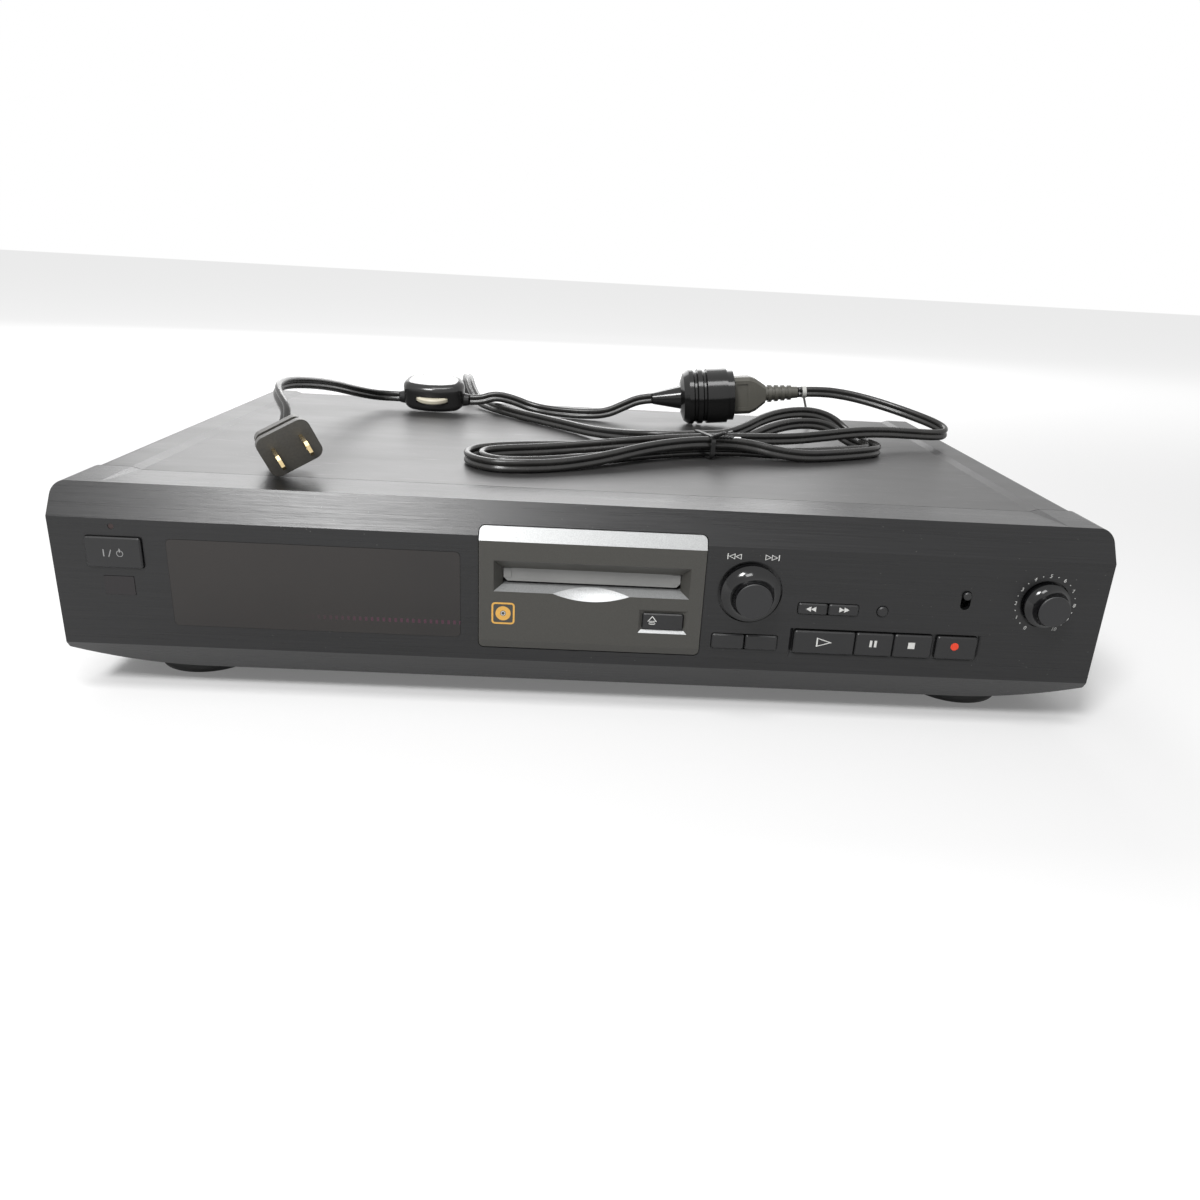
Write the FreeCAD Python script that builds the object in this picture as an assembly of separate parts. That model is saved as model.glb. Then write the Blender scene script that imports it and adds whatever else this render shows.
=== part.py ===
import FreeCAD, Part
import math
import os

from FreeCAD import Vector

os.makedirs("parts", exist_ok=True)

# A minidisc deck with a slot loading mechanism, its captive lead and an added switched lead.
# Millimetres. X runs to the right seen from the front, Z up. Inside this file y is measured
# back from the flat front face, and save() shifts every piece so that the middle of the
# deck's footprint is the origin.

# Case
CASE_WIDTH = 430.0
HALF_WIDTH = CASE_WIDTH / 2
CASE_DEPTH = 265.0
CASE_TOP = 90.0
FOOT_HEIGHT = 11.0
KNOB_REACH = 11.5
JACK_REACH = 8.5
FRONT_SHIFT = KNOB_REACH - (KNOB_REACH + CASE_DEPTH + JACK_REACH) / 2

# Front panel moulding
PANEL_WALL = 2.5
PANEL_DEPTH = 36.0
PANEL_CORNER = 5.0
BAND_DEPTH = 8.0
BAND_HEIGHT = 12.7
UNDERCUT_DEPTH = 8.5
UNDERCUT_HEIGHT = 12.4
BOW_RISE = 9.5
BOW_LENGTH = 55.0
LIP_DEPTH = 15.0
LIP_TOP = 60.0
STRIP_DROP = 1.2

# Sheet metal
COVER_SHEET = 0.8
COVER_INSET = 2.5
COVER_CORNER = 4.0
COVER_SKIRT = 1.5
CREASE_MARGIN = 18.5
CREASE_WIDTH = 4.0
CHASSIS_SHEET = 1.2
CHASSIS_FLANGE = 31.0
CHASSIS_GAP = 1.1
CHASSIS_CORNER = 17.0
REAR_SHEET = 1.0
SEAM = 0.3

# Feet
FOOT_RADIUS = 22.0
FOOT_SPREAD = HALF_WIDTH - 40.0
FOOT_FRONT = 45.0
FOOT_REAR = CASE_DEPTH - 40.0
FOOT_BORE = 7.0
FOOT_BEVEL = 1.2

# Screws that hold the cover
SCREW_HEAD = 3.8
SCREW_HEAD_HEIGHT = 2.2
SCREW_SHANK = 1.9
SCREW_LENGTH = 8.0
SCREW_PLAY = 0.3
SIDE_SCREW_Z = 32.0
SIDE_SCREWS_Y = (70.0, CASE_DEPTH - 45.0)
REAR_SCREWS_X = (25.0 - HALF_WIDTH, 0.0, HALF_WIDTH - 25.0)
REAR_SCREW_DROP = 7.5
REAR_FLANGE = 12.0

# Escutcheon round the slot
BEZEL_X = 1.0
BEZEL_WIDTH = 91.8
BEZEL_LOW = 29.2
BEZEL_HIGH = 81.0
BEZEL_PROUD = 1.2
BEZEL_LOW_FACET = 3.4
BEZEL_CREASE = 75.6
BEZEL_BACK = 8.0
BEZEL_WALL = 2.2
BEZEL_GAP = 0.4
BEZEL_CORNER = 2.2
BEZEL_LEFT = BEZEL_X - BEZEL_WIDTH / 2
BEZEL_RIGHT = BEZEL_X + BEZEL_WIDTH / 2
MOUTH_WIDTH = 80.0
MOUTH_LOW = 54.3
MOUTH_HIGH = 67.5
SLOT_X = 1.1
SLOT_WIDTH = 73.6
SLOT_LOW = 55.9
SLOT_HIGH = 62.9
FUNNEL_END = 4.2
TUNNEL_WALL = 2.4
TUNNEL_END = 13.5
NOTCH_X = 0.9
NOTCH_WIDTH = 31.4
NOTCH_DEPTH = 2.9
NOTCH_BACKING = 1.0

# Places left and right of the escutcheon keep their share of the room to the panel's ends
LEFT_SCALE = (HALF_WIDTH + BEZEL_LEFT) / 170.1
RIGHT_SCALE = (HALF_WIDTH - BEZEL_RIGHT) / 168.1


def left_place(distance):
    """A place on the left, by its distance from the panel's end."""
    return distance * LEFT_SCALE - HALF_WIDTH


def right_place(distance):
    """A place on the right, by its distance from the escutcheon."""
    return BEZEL_RIGHT + distance * RIGHT_SCALE


# Display and indicators
WINDOW_LEFT = left_place(45.6)
WINDOW_WIDTH = 116.8 * LEFT_SCALE
WINDOW_LOW = 33.0
WINDOW_HEIGHT = 36.9
WINDOW_CORNER = 2.0
WINDOW_FLANGE = 1.6
REMOTE_LEFT = left_place(19.5)
REMOTE_WIDTH = 11.8 * LEFT_SCALE
REMOTE_LOW = 45.5
REMOTE_HEIGHT = 7.9
LAMP_X = left_place(24.8)
LAMP_Z = 74.2
LAMP_RADIUS = 1.1
TUBE_MARGIN = 7.0
TUBE_DEPTH = 6.4

# Boards behind the front panel
BOARD_FACE = 12.4
BOARD_SHEET = 1.6
BOARD_LOW = 26.0
BOARD_HIGH = 80.0
BOARD_END = HALF_WIDTH - 10.0

# Buttons: left, right, low, high on the front face
POWER_BOX = (left_place(14.0), left_place(36.1), 57.2, 70.0)
EJECT_BOX = (BEZEL_RIGHT - 24.4, BEZEL_RIGHT - 7.3, 40.3, 47.4)
EDIT_BOX = (right_place(5.1), right_place(18.8), 32.9, 39.5)
YES_BOX = (right_place(19.2), right_place(32.8), 32.9, 39.5)
REWIND_BOX = (right_place(39.7), right_place(52.0), 49.8, 54.7)
FORWARD_BOX = (right_place(52.4), right_place(65.0), 49.8, 54.7)
PLAY_BOX = (right_place(39.6), right_place(65.3), 32.3, 42.5)
PAUSE_BOX = (right_place(65.7), right_place(81.6), 32.3, 42.5)
STOP_BOX = (right_place(82.0), right_place(98.2), 32.3, 42.5)
RECORD_BOX = (right_place(100.0), right_place(117.3), 32.3, 42.5)
DISPLAY_X = right_place(75.1)
DISPLAY_Z = 52.3
DISPLAY_RADIUS = 2.3
POWER_PROUD = 1.5
KEY_PROUD = 1.0
EJECT_PROUD = 1.0
KEY_TRAVEL = 0.8
KEY_GAP = 0.25
KEY_CORNER = 1.1
KEY_CHAMFER = 0.5
FLANGE_HEIGHT = 0.9
FLANGE_SHEET = 1.2
STEM_WIDTH = 3.0
SWITCH_SIZE = 6.0
SWITCH_DEPTH = 3.5
PLUNGER_RADIUS = 1.7
PLUNGER_REACH = 1.0
TRAY_SIDE = 1.8
TRAY_LOW = 2.4
TRAY_HIGH = 0.8
TRAY_DEPTH = 1.0
TRAY_FLOOR = 0.4
EJECT_FLARE = 1.6
EJECT_RECESS = 0.9

# Slot lid
LID_SHEET = 1.2
LID_FACE = 5.0
LID_SIDE_GAP = 0.3
LID_LOW_GAP = 1.1
LID_CORNER = 1.6
LID_PAD = 3.2
LID_PAD_PROUD = 0.3
LID_PIVOT_Z = 63.7
LID_PIN = 0.8
LID_PIN_LENGTH = 1.6
LID_PIN_PLAY = 0.1
LID_POCKET = 2.4

# Jog knob
JOG_X = right_place(19.1)
JOG_Z = 58.3
JOG_RADIUS = 12.1
JOG_CAP = 7.4
JOG_RECESS = 13.4
RECESS_DEPTH = 1.4
SHAFT_RADIUS = 3.0
SHAFT_TIP = -7.0
SHAFT_FIT = 0.05
HUB_WALL = 1.4
KNOB_WALL = 1.6
KNOB_SKIRT = 0.6
ENCODER_SIZE = 12.0
ENCODER_FACE = 6.0
BUSH_WALL = 1.5

# Level knob
LEVEL_X = right_place(142.4)
LEVEL_Z = 58.6
LEVEL_RADIUS = 9.5
LEVEL_CAP = 6.6
LEVEL_REACH = 9.0
LEVEL_RECESS = 10.3
CONTROL_RADIUS = 8.5

# Input switch
INPUT_X = right_place(109.1)
INPUT_Z = 58.8
INPUT_SLOT_WIDTH = 4.1
INPUT_SLOT_HEIGHT = 8.4
LEVER_GAP = 0.3
LEVER_PROUD = 1.6
LEVER_CHAMFER = 0.4
INPUT_FACE = 6.5
INPUT_MARGIN = 2.0

# Rear connectors
JACK_X = (HALF_WIDTH - 115.0, HALF_WIDTH - 91.0)
JACK_Z = (34.0, 52.0)
JACK_RADIUS = 4.15
JACK_COLLAR = 4.6
JACK_COLLAR_PROUD = 0.8
JACK_BORE = 1.65
JACK_BORE_DEPTH = 8.0
JACK_BLOCK_DEPTH = 12.0
JACK_MARGIN = 9.0
OPTICAL_X = (HALF_WIDTH - 55.0, HALF_WIDTH - 35.0)
OPTICAL_Z = 43.0
OPTICAL_WIDTH = 13.5
OPTICAL_HEIGHT = 10.5
OPTICAL_DEPTH = 14.0
OPTICAL_PORT = 6.4
OPTICAL_PORT_DEPTH = 7.0
OPTICAL_REACH = 1.5
BUSHING_X = 120.0 - HALF_WIDTH
BUSHING_Z = 32.0
BUSHING_COLLAR = 7.0
BUSHING_TAIL = 3.6
BUSHING_LENGTH = 22.0
BUSHING_NECK = 5.5

# Inside the case
TRANSFORMER_X = 65.0 - HALF_WIDTH
TRANSFORMER_Y = CASE_DEPTH - 50.0
CORE_WIDTH = 57.0
CORE_DEPTH = 32.0
CORE_HEIGHT = 48.0
WINDING_DEPTH = 46.0
EAR_REACH = 10.0
EAR_SHEET = 1.6
MAIN_BOARD_BOX = (HALF_WIDTH - 143.0, HALF_WIDTH - 15.0, CASE_DEPTH - 145.0, CASE_DEPTH - 15.0)
MAIN_BOARD_Z = 20.0
POST_RADIUS = 3.0
POST_MARGIN = 6.0
CAPACITOR_PLACES = (25.0, 50.0)
CAPACITOR_RADIUS = 8.0
CAPACITOR_HEIGHT = 22.0
CHIP_SIZE = 30.0
CHIP_HEIGHT = 3.0
HEAT_SINK_WIDTH = 44.0
HEAT_SINK_HEIGHT = 26.0
HEAT_SINK_FINS = 7

# Disc mechanism
DECK_PLATE_Z = 32.0
DECK_PLATE = 2.0
DECK_FRONT = 15.0
DECK_BACK = 150.0
DECK_HALF = 46.0
DECK_WALL = 2.0
DECK_WALL_TOP = 66.0
LEG_RADIUS = 4.0
CARTRIDGE_WIDTH = 72.0
CARTRIDGE_HEIGHT = 5.0
CARTRIDGE_DEPTH = 68.0
CARTRIDGE_PLAY = 0.4
HOLDER_SHEET = 1.0
HOLDER_FRONT = 16.0
HOLDER_LEDGE = 8.0
HOLDER_DROP = 5.0
HEAD_SLOT = 20.0
HEAD_SLOT_START = 60.0
SPINDLE_Y = 54.0
SPINDLE_RADIUS = 10.0
SPINDLE_HEIGHT = 9.0
SPINDLE_SHAFT = 1.0
TABLE_RADIUS = 9.5
TABLE_SHEET = 1.2
TABLE_PIN = 2.0
LENS_Y = 70.0
PICKUP_HALF = 16.0
PICKUP_FRONT = 66.0
PICKUP_BACK = 96.0
PICKUP_LOW = 40.0
PICKUP_HEIGHT = 7.0
ROD_RADIUS = 1.5
ROD_SPREAD = 13.0
ROD_Z = 43.0
ROD_FRONT = 57.0
ROD_BACK = 124.0
ROD_FIT = 0.08
RISER_DEPTH = 4.0
ARM_PIVOT_Y = 94.0
ARM_PIVOT_Z = 66.5
ARM_WIDTH = 12.0
ARM_SHEET = 1.2
ARM_PIN = 0.8

# Gears and racks
GEAR_MODULE = 0.6
GEAR_TEETH = 20
PITCH_RADIUS = GEAR_MODULE * GEAR_TEETH / 2
TOOTH_PITCH = math.pi * GEAR_MODULE
TOOTH_PLAY = 0.16
GEAR_SHEET = 3.0
GEAR_SHAFT = 1.0
MOTOR_RADIUS = 6.0
MOTOR_LENGTH = 14.0
SLIDER_TRAVEL = 8.0
SLIDER_SHEET = 1.6
SLIDER_HEIGHT = 20.0
SLIDER_LENGTH = 66.0
SLIDER_Y = 57.0
CAM_PIN = 1.2
CAM_PLAY = 0.25
CAM_PINS_Y = (38.0, 74.0)
LOADING_GEAR_Y = 50.0
RACK_Z = 46.5
MOTOR_BORE = 4.0
SLED_GEAR_Y = 80.0
SLED_GEAR_Z = 41.0
SLED_RACK_GAP = 1.6

# Leads: a flat twin cord as a round tube of the same section
CORD = 4.8
CORD_REST = 0.2
COLLAR = 3.4
COLLAR_REACH = 2.5

# Inline switch, tilted towards the front
SWITCH_LENGTH = 37.0
SWITCH_BODY_DEPTH = 25.0
SWITCH_BODY_HEIGHT = 17.0
SWITCH_X = -99.0
SWITCH_Y = 224.0
SWITCH_TILT = 15.0
SWITCH_ROUND = 4.5
SWITCH_CORNER = 7.0
SWITCH_END_BULGE = 3.0
SWITCH_SIDE_BULGE = 3.5
SWITCH_COLLAR = 4.4
COLLAR_DROP = 3.5
WHEEL_RADIUS = 12.0
WHEEL_PROUD = 2.8
WHEEL_SHEET = 3.4
WHEEL_CHAMFER = 0.9
WHEEL_GAP = 0.4
WHEEL_PIN = 1.5

# Round socket with the flat plug in it, on one tilted axis
SOCKET_X = 52.0
SOCKET_Y = 220.0
SOCKET_RADIUS = 16.4
SOCKET_LENGTH = 32.0
SOCKET_TILT = 5.3
SOCKET_NECK = 9.0
SOCKET_DOME = 5.0
SOCKET_NUB = 17.0
NUB_ROOT = 7.0
RIM_LENGTH = 4.0
RIM_STEP = 1.4
RIB_DEPTH = 1.2
FLAT_PLUG_LENGTH = 20.0
FLAT_PLUG_WIDTH = 22.0
FLAT_PLUG_HEIGHT = 13.0
FLAT_PLUG_CORNER = 2.0
PANEL_INSET = 0.6
RELIEF_LENGTH = 20.0
RELIEF_RADIUS = 5.2
RELIEF_RIBS = 4
RIB_WIDTH = 2.0

# Two blade plug at the end of the switched lead, leaning on one corner of its face
END_PLUG_X = -129.4
END_PLUG_Y = 36.7
END_PLUG_ROLL = 26.0
END_PLUG_YAW = 24.7
END_PLUG_CORNER = 4.0
END_PLUG_WIDTH = 24.0
END_PLUG_HEIGHT = 18.0
END_PLUG_FACE = 5.0
END_PLUG_WAIST = 14.0
END_PLUG_BODY = 20.0
WAIST_INSET = 3.0
BACK_INSET = 1.0
BLADE_SPACING = 12.7
BLADE_WIDTH = 6.4
BLADE_SHEET = 1.5
BLADE_LENGTH = 17.0
BLADE_TAPER = 1.6
BLADE_HOLE = 1.6
BLADE_HOLE_PLACE = 12.0

# Hank of the captive lead: its far right end, and the widest places of its back and front strands
HANK_X = 57.0
HANK_Y = 122.0
HANK_ANGLE = 22.0
HANK_TURNS = 2
HANK_RIGHT = 107.0
HANK_LEFT = 130.0
HANK_BACK = (80.0, 28.0)
HANK_FRONT = (55.0, 26.0)
HANK_LEFT_HALF = 26.0
HANK_LIFTS = (14.6, 9.5)
HANK_PITCH = 6.8
WAIST_HALF = 8.6
WAIST_PITCH = 3.8
WAIST_RISE = 4.8
WAIST_LIFT = 1.3
TIE_SHEET = 0.9
TIE_WIDTH = 2.4
TIE_PLAY = 0.25
TAIL_RADIUS = 0.7
TAIL_END = (138.0, 238.0)

# Derived places
CREASE_Z = CASE_TOP - BAND_HEIGHT
LOW_CREASE_Z = FOOT_HEIGHT + UNDERCUT_HEIGHT
COVER_HALF = HALF_WIDTH - COVER_INSET
COVER_LOW = FOOT_HEIGHT + COVER_SKIRT
LID_TOP = CASE_TOP - STRIP_DROP
CHASSIS_HALF = COVER_HALF - CHASSIS_GAP
CHASSIS_TOP = FOOT_HEIGHT + CHASSIS_SHEET
REAR_FACE = CASE_DEPTH - COVER_SHEET - SEAM
CORD_Z = LID_TOP + CORD / 2 + CORD_REST
HOLDER_Z = (SLOT_LOW + SLOT_HIGH) / 2
HOLDER_BACK = HOLDER_FRONT + CARTRIDGE_DEPTH + 2 * HOLDER_SHEET
SLIDER_X = SLOT_X - DECK_HALF - SEAM - SLIDER_SHEET
SLED_GEAR_X = SLOT_X + PICKUP_HALF + SLED_RACK_GAP + PITCH_RADIUS
RELIEF_END = SOCKET_LENGTH + FLAT_PLUG_LENGTH + RELIEF_LENGTH
SWITCH_SIN = math.sin(math.radians(SWITCH_TILT))
SWITCH_COS = math.cos(math.radians(SWITCH_TILT))
SWITCH_RISE = (SWITCH_BODY_HEIGHT / 2 - SWITCH_ROUND) * SWITCH_COS + SWITCH_ROUND
SWITCH_RISE += (SWITCH_BODY_DEPTH / 2 - SWITCH_ROUND) * SWITCH_SIN
SWITCH_Z = LID_TOP + SWITCH_RISE + CORD_REST
SWITCH_CENTRE = (SWITCH_X, SWITCH_Y, SWITCH_Z)
SWITCH_END = SWITCH_LENGTH / 2 + COLLAR_REACH
SWITCH_EXIT_Y = SWITCH_Y + COLLAR_DROP * SWITCH_SIN
SWITCH_EXIT_Z = SWITCH_Z - COLLAR_DROP * SWITCH_COS
WHEEL_Y = SWITCH_Y - SWITCH_BODY_DEPTH / 2 + WHEEL_RADIUS - WHEEL_PROUD
SOCKET_SIN = math.sin(math.radians(SOCKET_TILT))
SOCKET_COS = math.cos(math.radians(SOCKET_TILT))
SOCKET_Z = LID_TOP + CORD_REST + SOCKET_RADIUS * SOCKET_COS - SOCKET_DOME * SOCKET_SIN
SOCKET_PLACE = (SOCKET_X, SOCKET_Y, SOCKET_Z)
ROLL_SIN = math.sin(math.radians(END_PLUG_ROLL))
ROLL_COS = math.cos(math.radians(END_PLUG_ROLL))
END_PLUG_RISE = (END_PLUG_WIDTH / 2 - END_PLUG_CORNER) * ROLL_SIN + END_PLUG_CORNER
END_PLUG_RISE += (END_PLUG_HEIGHT / 2 - END_PLUG_CORNER) * ROLL_COS
END_PLUG = (END_PLUG_X, END_PLUG_Y, LID_TOP + CORD_REST + END_PLUG_RISE)


def box(x0, x1, y0, y1, z0, z1):
    return Part.makeBox(x1 - x0, y1 - y0, z1 - z0, Vector(x0, y0, z0))


def rod(x, y, z, radius, length, axis=(0, 1, 0)):
    return Part.makeCylinder(radius, length, Vector(x, y, z), Vector(*axis))


def wire_of(points):
    return Part.makePolygon([Vector(*p) for p in points] + [Vector(*points[0])])


def prism_x(outline, x0, x1):
    face = Part.Face(wire_of([(x0, y, z) for y, z in outline]))
    return face.extrude(Vector(x1 - x0, 0, 0))


def prism_y(outline, y0, y1):
    face = Part.Face(wire_of([(x, y0, z) for x, z in outline]))
    return face.extrude(Vector(0, y1 - y0, 0))


def prism_z(outline, z0, z1):
    face = Part.Face(wire_of([(x, y, z0) for x, y in outline]))
    return face.extrude(Vector(0, 0, z1 - z0))


def rounded_box(x0, x1, y0, y1, z0, z1, corner):
    """A block whose four edges along Y are rounded."""
    edges = []
    corners = ((x0, z0, 1, 1), (x1, z0, -1, 1), (x1, z1, -1, -1), (x0, z1, 1, -1))
    slant = corner * (1 - math.sqrt(0.5))
    for number, (x, z, right, up) in enumerate(corners):
        side = Vector(x, y0, z + up * corner)
        foot = Vector(x + right * corner, y0, z)
        middle = Vector(x + right * slant, y0, z + up * slant)
        ends = (side, foot) if number % 2 == 0 else (foot, side)
        edges.append((ends[0], middle, ends[1]))
    outline = []
    for number, (start, middle, end) in enumerate(edges):
        outline.append(Part.Arc(start, middle, end).toShape())
        outline.append(Part.LineSegment(end, edges[(number + 1) % 4][0]).toShape())
    return Part.Face(Part.Wire(outline)).extrude(Vector(0, y1 - y0, 0))


def obround(x, z, width, height, y0, y1):
    """An upright slot with round ends, along Y."""
    reach = (height - width) / 2
    ends = [rod(x, y0, z + side * reach, width / 2, y1 - y0) for side in (-1, 1)]
    return joined([box(x - width / 2, x + width / 2, y0, y1, z - reach, z + reach), *ends])


def flared(front, back, front_y, back_y):
    """A recess that narrows from one (left, right, low, high) box to another."""
    wires = []
    for (left, right, low, high), y in ((front, front_y), (back, back_y)):
        wires.append(wire_of([(left, y, low), (right, y, low), (right, y, high), (left, y, high)]))
    return Part.makeLoft(wires, True, True)


def grown(area, side, low, high):
    """A (left, right, low, high) box with margins added to its sides, foot and top."""
    return (area[0] - side, area[1] + side, area[2] - low, area[3] + high)


def turned(x, z, profile):
    """Turns a closed profile of (radius, y) points about the Y axis through x, z."""
    face = Part.Face(wire_of([(x + r, y, z) for r, y in profile]))
    return face.revolve(Vector(x, 0, z), Vector(0, 1, 0), 360)


def chamfer_front(solid, y, size):
    """Bevels the edges of a solid that lie wholly in the plane at y."""
    chosen = []
    for edge in solid.Edges:
        if abs(edge.BoundBox.YMin - y) < 1e-4 and abs(edge.BoundBox.YMax - y) < 1e-4:
            chosen.append(edge)
    return solid.makeChamfer(size, chosen)


def joined(shapes):
    return shapes[0].multiFuse(shapes[1:]).removeSplitter()


def save(name, shape):
    placed = shape.copy()
    placed.translate(Vector(0, FRONT_SHIFT, 0))
    placed.exportStep(f"parts/{name}.step")


# Front panel

def panel_side(inset):
    """The panel's profile in y and z, moved inwards by a wall."""
    top = CASE_TOP - inset
    low = FOOT_HEIGHT + inset
    return [
        (PANEL_DEPTH, top),
        (BAND_DEPTH + 0.5 * inset, top),
        (inset, CREASE_Z - 0.3 * inset),
        (inset, LOW_CREASE_Z + 0.3 * inset),
        (UNDERCUT_DEPTH + 0.5 * inset, low),
        (PANEL_DEPTH, low),
    ]


def panel_front(inset):
    """The panel seen from the front, with round top corners and a bowed bottom edge."""
    half = HALF_WIDTH - inset
    top = CASE_TOP - inset
    low = FOOT_HEIGHT + inset
    corner = PANEL_CORNER - 0.5 * inset
    slant = corner * (1 - math.sqrt(0.5))
    flat = HALF_WIDTH - BOW_LENGTH
    bow_middle = (flat + half) / 2
    bow_mid_rise = BOW_RISE * 0.22
    edges = []
    for side in (1, -1):
        outer = Vector(side * half, 0, top - corner)
        inner = Vector(side * (half - corner), 0, top)
        middle = Vector(side * (half - slant), 0, top - slant)
        edges.append(Part.Arc(outer, middle, inner))
        foot = Vector(side * half, 0, low + BOW_RISE)
        edges.append(Part.LineSegment(foot, outer))
        bow = Vector(side * bow_middle, 0, low + bow_mid_rise)
        edges.append(Part.Arc(foot, bow, Vector(side * flat, 0, low)))
    edges.append(Part.LineSegment(Vector(-flat, 0, low), Vector(flat, 0, low)))
    edges.append(Part.LineSegment(Vector(corner - half, 0, top), Vector(half - corner, 0, top)))
    loop = Part.__sortEdges__([edge.toShape() for edge in edges])
    return Part.Face(Part.Wire(loop)).extrude(Vector(0, PANEL_DEPTH, 0))


def panel_body(inset):
    side = prism_x(panel_side(inset), -HALF_WIDTH, HALF_WIDTH)
    return side.common(panel_front(inset))


def panel_dip():
    """What is cut from the panel's top so that it falls to the cover's sunk middle."""
    slope = [
        (BAND_DEPTH, CASE_TOP),
        (PANEL_DEPTH + 1, CASE_TOP + 1),
        (PANEL_DEPTH + 1, LID_TOP),
        (PANEL_DEPTH, LID_TOP),
    ]
    crease = HALF_WIDTH - CREASE_MARGIN
    reach = crease - CREASE_WIDTH
    rise = CREASE_WIDTH / STRIP_DROP
    trough = [
        (-reach, LID_TOP),
        (reach, LID_TOP),
        (crease + rise, CASE_TOP + 1),
        (-crease - rise, CASE_TOP + 1),
    ]
    wedge = prism_x(slope, -HALF_WIDTH, HALF_WIDTH)
    return wedge.common(prism_y(trough, BAND_DEPTH, PANEL_DEPTH + 1))


def key_hole(boxes, start=-1, end=PANEL_WALL + 1):
    """One opening round a row of keys."""
    left = boxes[0][0] - KEY_GAP
    right = boxes[-1][1] + KEY_GAP
    low = boxes[0][2] - KEY_GAP
    high = boxes[0][3] + KEY_GAP
    return rounded_box(left, right, start, end, low, high, KEY_CORNER + KEY_GAP)


def front_panel():
    shell = panel_body(0).cut(panel_body(PANEL_WALL))
    inner = HALF_WIDTH - PANEL_WALL
    cavity = box(-inner, inner, LIP_DEPTH, PANEL_DEPTH, 0, LIP_TOP)
    window = rounded_box(
        WINDOW_LEFT - 0.1, WINDOW_LEFT + WINDOW_WIDTH + 0.1, -1, 4,
        WINDOW_LOW - 0.1, WINDOW_LOW + WINDOW_HEIGHT + 0.1, WINDOW_CORNER,
    )
    remote = box(
        REMOTE_LEFT - 0.1, REMOTE_LEFT + REMOTE_WIDTH + 0.1, -1, 4,
        REMOTE_LOW - 0.1, REMOTE_LOW + REMOTE_HEIGHT + 0.1,
    )
    bezel = rounded_box(
        BEZEL_LEFT - BEZEL_GAP, BEZEL_RIGHT + BEZEL_GAP, -1, BEZEL_BACK,
        BEZEL_LOW - BEZEL_GAP, BEZEL_HIGH + BEZEL_GAP, BEZEL_CORNER + BEZEL_GAP,
    )
    row = (PLAY_BOX[0], RECORD_BOX[1], PLAY_BOX[2], PLAY_BOX[3])
    tray = flared(
        grown(row, TRAY_SIDE, TRAY_LOW, TRAY_HIGH),
        grown(row, TRAY_FLOOR, TRAY_FLOOR, TRAY_FLOOR), 0, TRAY_DEPTH,
    )
    cuts = [
        cavity,
        panel_dip(),
        window,
        remote,
        bezel,
        tray,
        key_hole([POWER_BOX]),
        key_hole([EDIT_BOX, YES_BOX]),
        key_hole([REWIND_BOX, FORWARD_BOX]),
        key_hole([PLAY_BOX, PAUSE_BOX, STOP_BOX]),
        key_hole([RECORD_BOX]),
        rod(DISPLAY_X, -1, DISPLAY_Z, DISPLAY_RADIUS + KEY_GAP, 5),
        rod(LAMP_X, -1, LAMP_Z, LAMP_RADIUS + 0.1, 5),
        rod(JOG_X, -1, JOG_Z, JOG_RECESS, 1 + RECESS_DEPTH),
        rod(JOG_X, -1, JOG_Z, SHAFT_RADIUS + BUSH_WALL + 0.3, 5),
        rod(LEVEL_X, -1, LEVEL_Z, LEVEL_RECESS, 1 + RECESS_DEPTH),
        rod(LEVEL_X, -1, LEVEL_Z, SHAFT_RADIUS + BUSH_WALL + 0.3, 5),
        obround(INPUT_X, INPUT_Z, INPUT_SLOT_WIDTH, INPUT_SLOT_HEIGHT, -1, PANEL_WALL + 1),
    ]
    return shell.cut(cuts)


def insert(left, width, low, height, corner, proud):
    """A window that fills an opening and is stuck behind it by its flange."""
    front = rounded_box(left, left + width, -proud, PANEL_WALL + 0.1, low, low + height, corner)
    flange = box(
        left - WINDOW_FLANGE, left + width + WINDOW_FLANGE, PANEL_WALL + 0.1, PANEL_WALL + 1.1,
        low - WINDOW_FLANGE, low + height + WINDOW_FLANGE,
    )
    return joined([front, flange])


# Keys

def key(area, proud, wall_back, front=0.0):
    """A push key: cap, retaining flange behind the wall, and the stem to its switch."""
    left, right, low, high = area
    face = front - proud
    back = wall_back + SEAM
    cap = rounded_box(left, right, face, back, low, high, KEY_CORNER)
    cap = chamfer_front(cap, face, KEY_CHAMFER)
    flange = box(left, right, back, back + FLANGE_SHEET, low - FLANGE_HEIGHT, high + FLANGE_HEIGHT)
    x = (left + right) / 2
    z = (low + high) / 2
    tip = BOARD_FACE - SWITCH_DEPTH - PLUNGER_REACH - KEY_TRAVEL - 0.1
    half = STEM_WIDTH / 2
    stem = box(x - half, x + half, back, tip, z - half, z + half)
    return joined([cap, flange, stem])


def display_button():
    back = PANEL_WALL + SEAM
    tip = BOARD_FACE - SWITCH_DEPTH - PLUNGER_REACH - KEY_TRAVEL - 0.1
    cap = rod(DISPLAY_X, -KEY_PROUD, DISPLAY_Z, DISPLAY_RADIUS, KEY_PROUD + back)
    cap = chamfer_front(cap, -KEY_PROUD, KEY_CHAMFER)
    flange = rod(DISPLAY_X, back, DISPLAY_Z, DISPLAY_RADIUS + FLANGE_HEIGHT, FLANGE_SHEET)
    stem = rod(DISPLAY_X, back, DISPLAY_Z, STEM_WIDTH / 2, tip - back)
    return joined([cap, flange, stem])


KEYS = {
    "edit_button": EDIT_BOX,
    "yes_button": YES_BOX,
    "rewind_button": REWIND_BOX,
    "forward_button": FORWARD_BOX,
    "play_button": PLAY_BOX,
    "pause_button": PAUSE_BOX,
    "stop_button": STOP_BOX,
    "record_button": RECORD_BOX,
}


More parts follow.
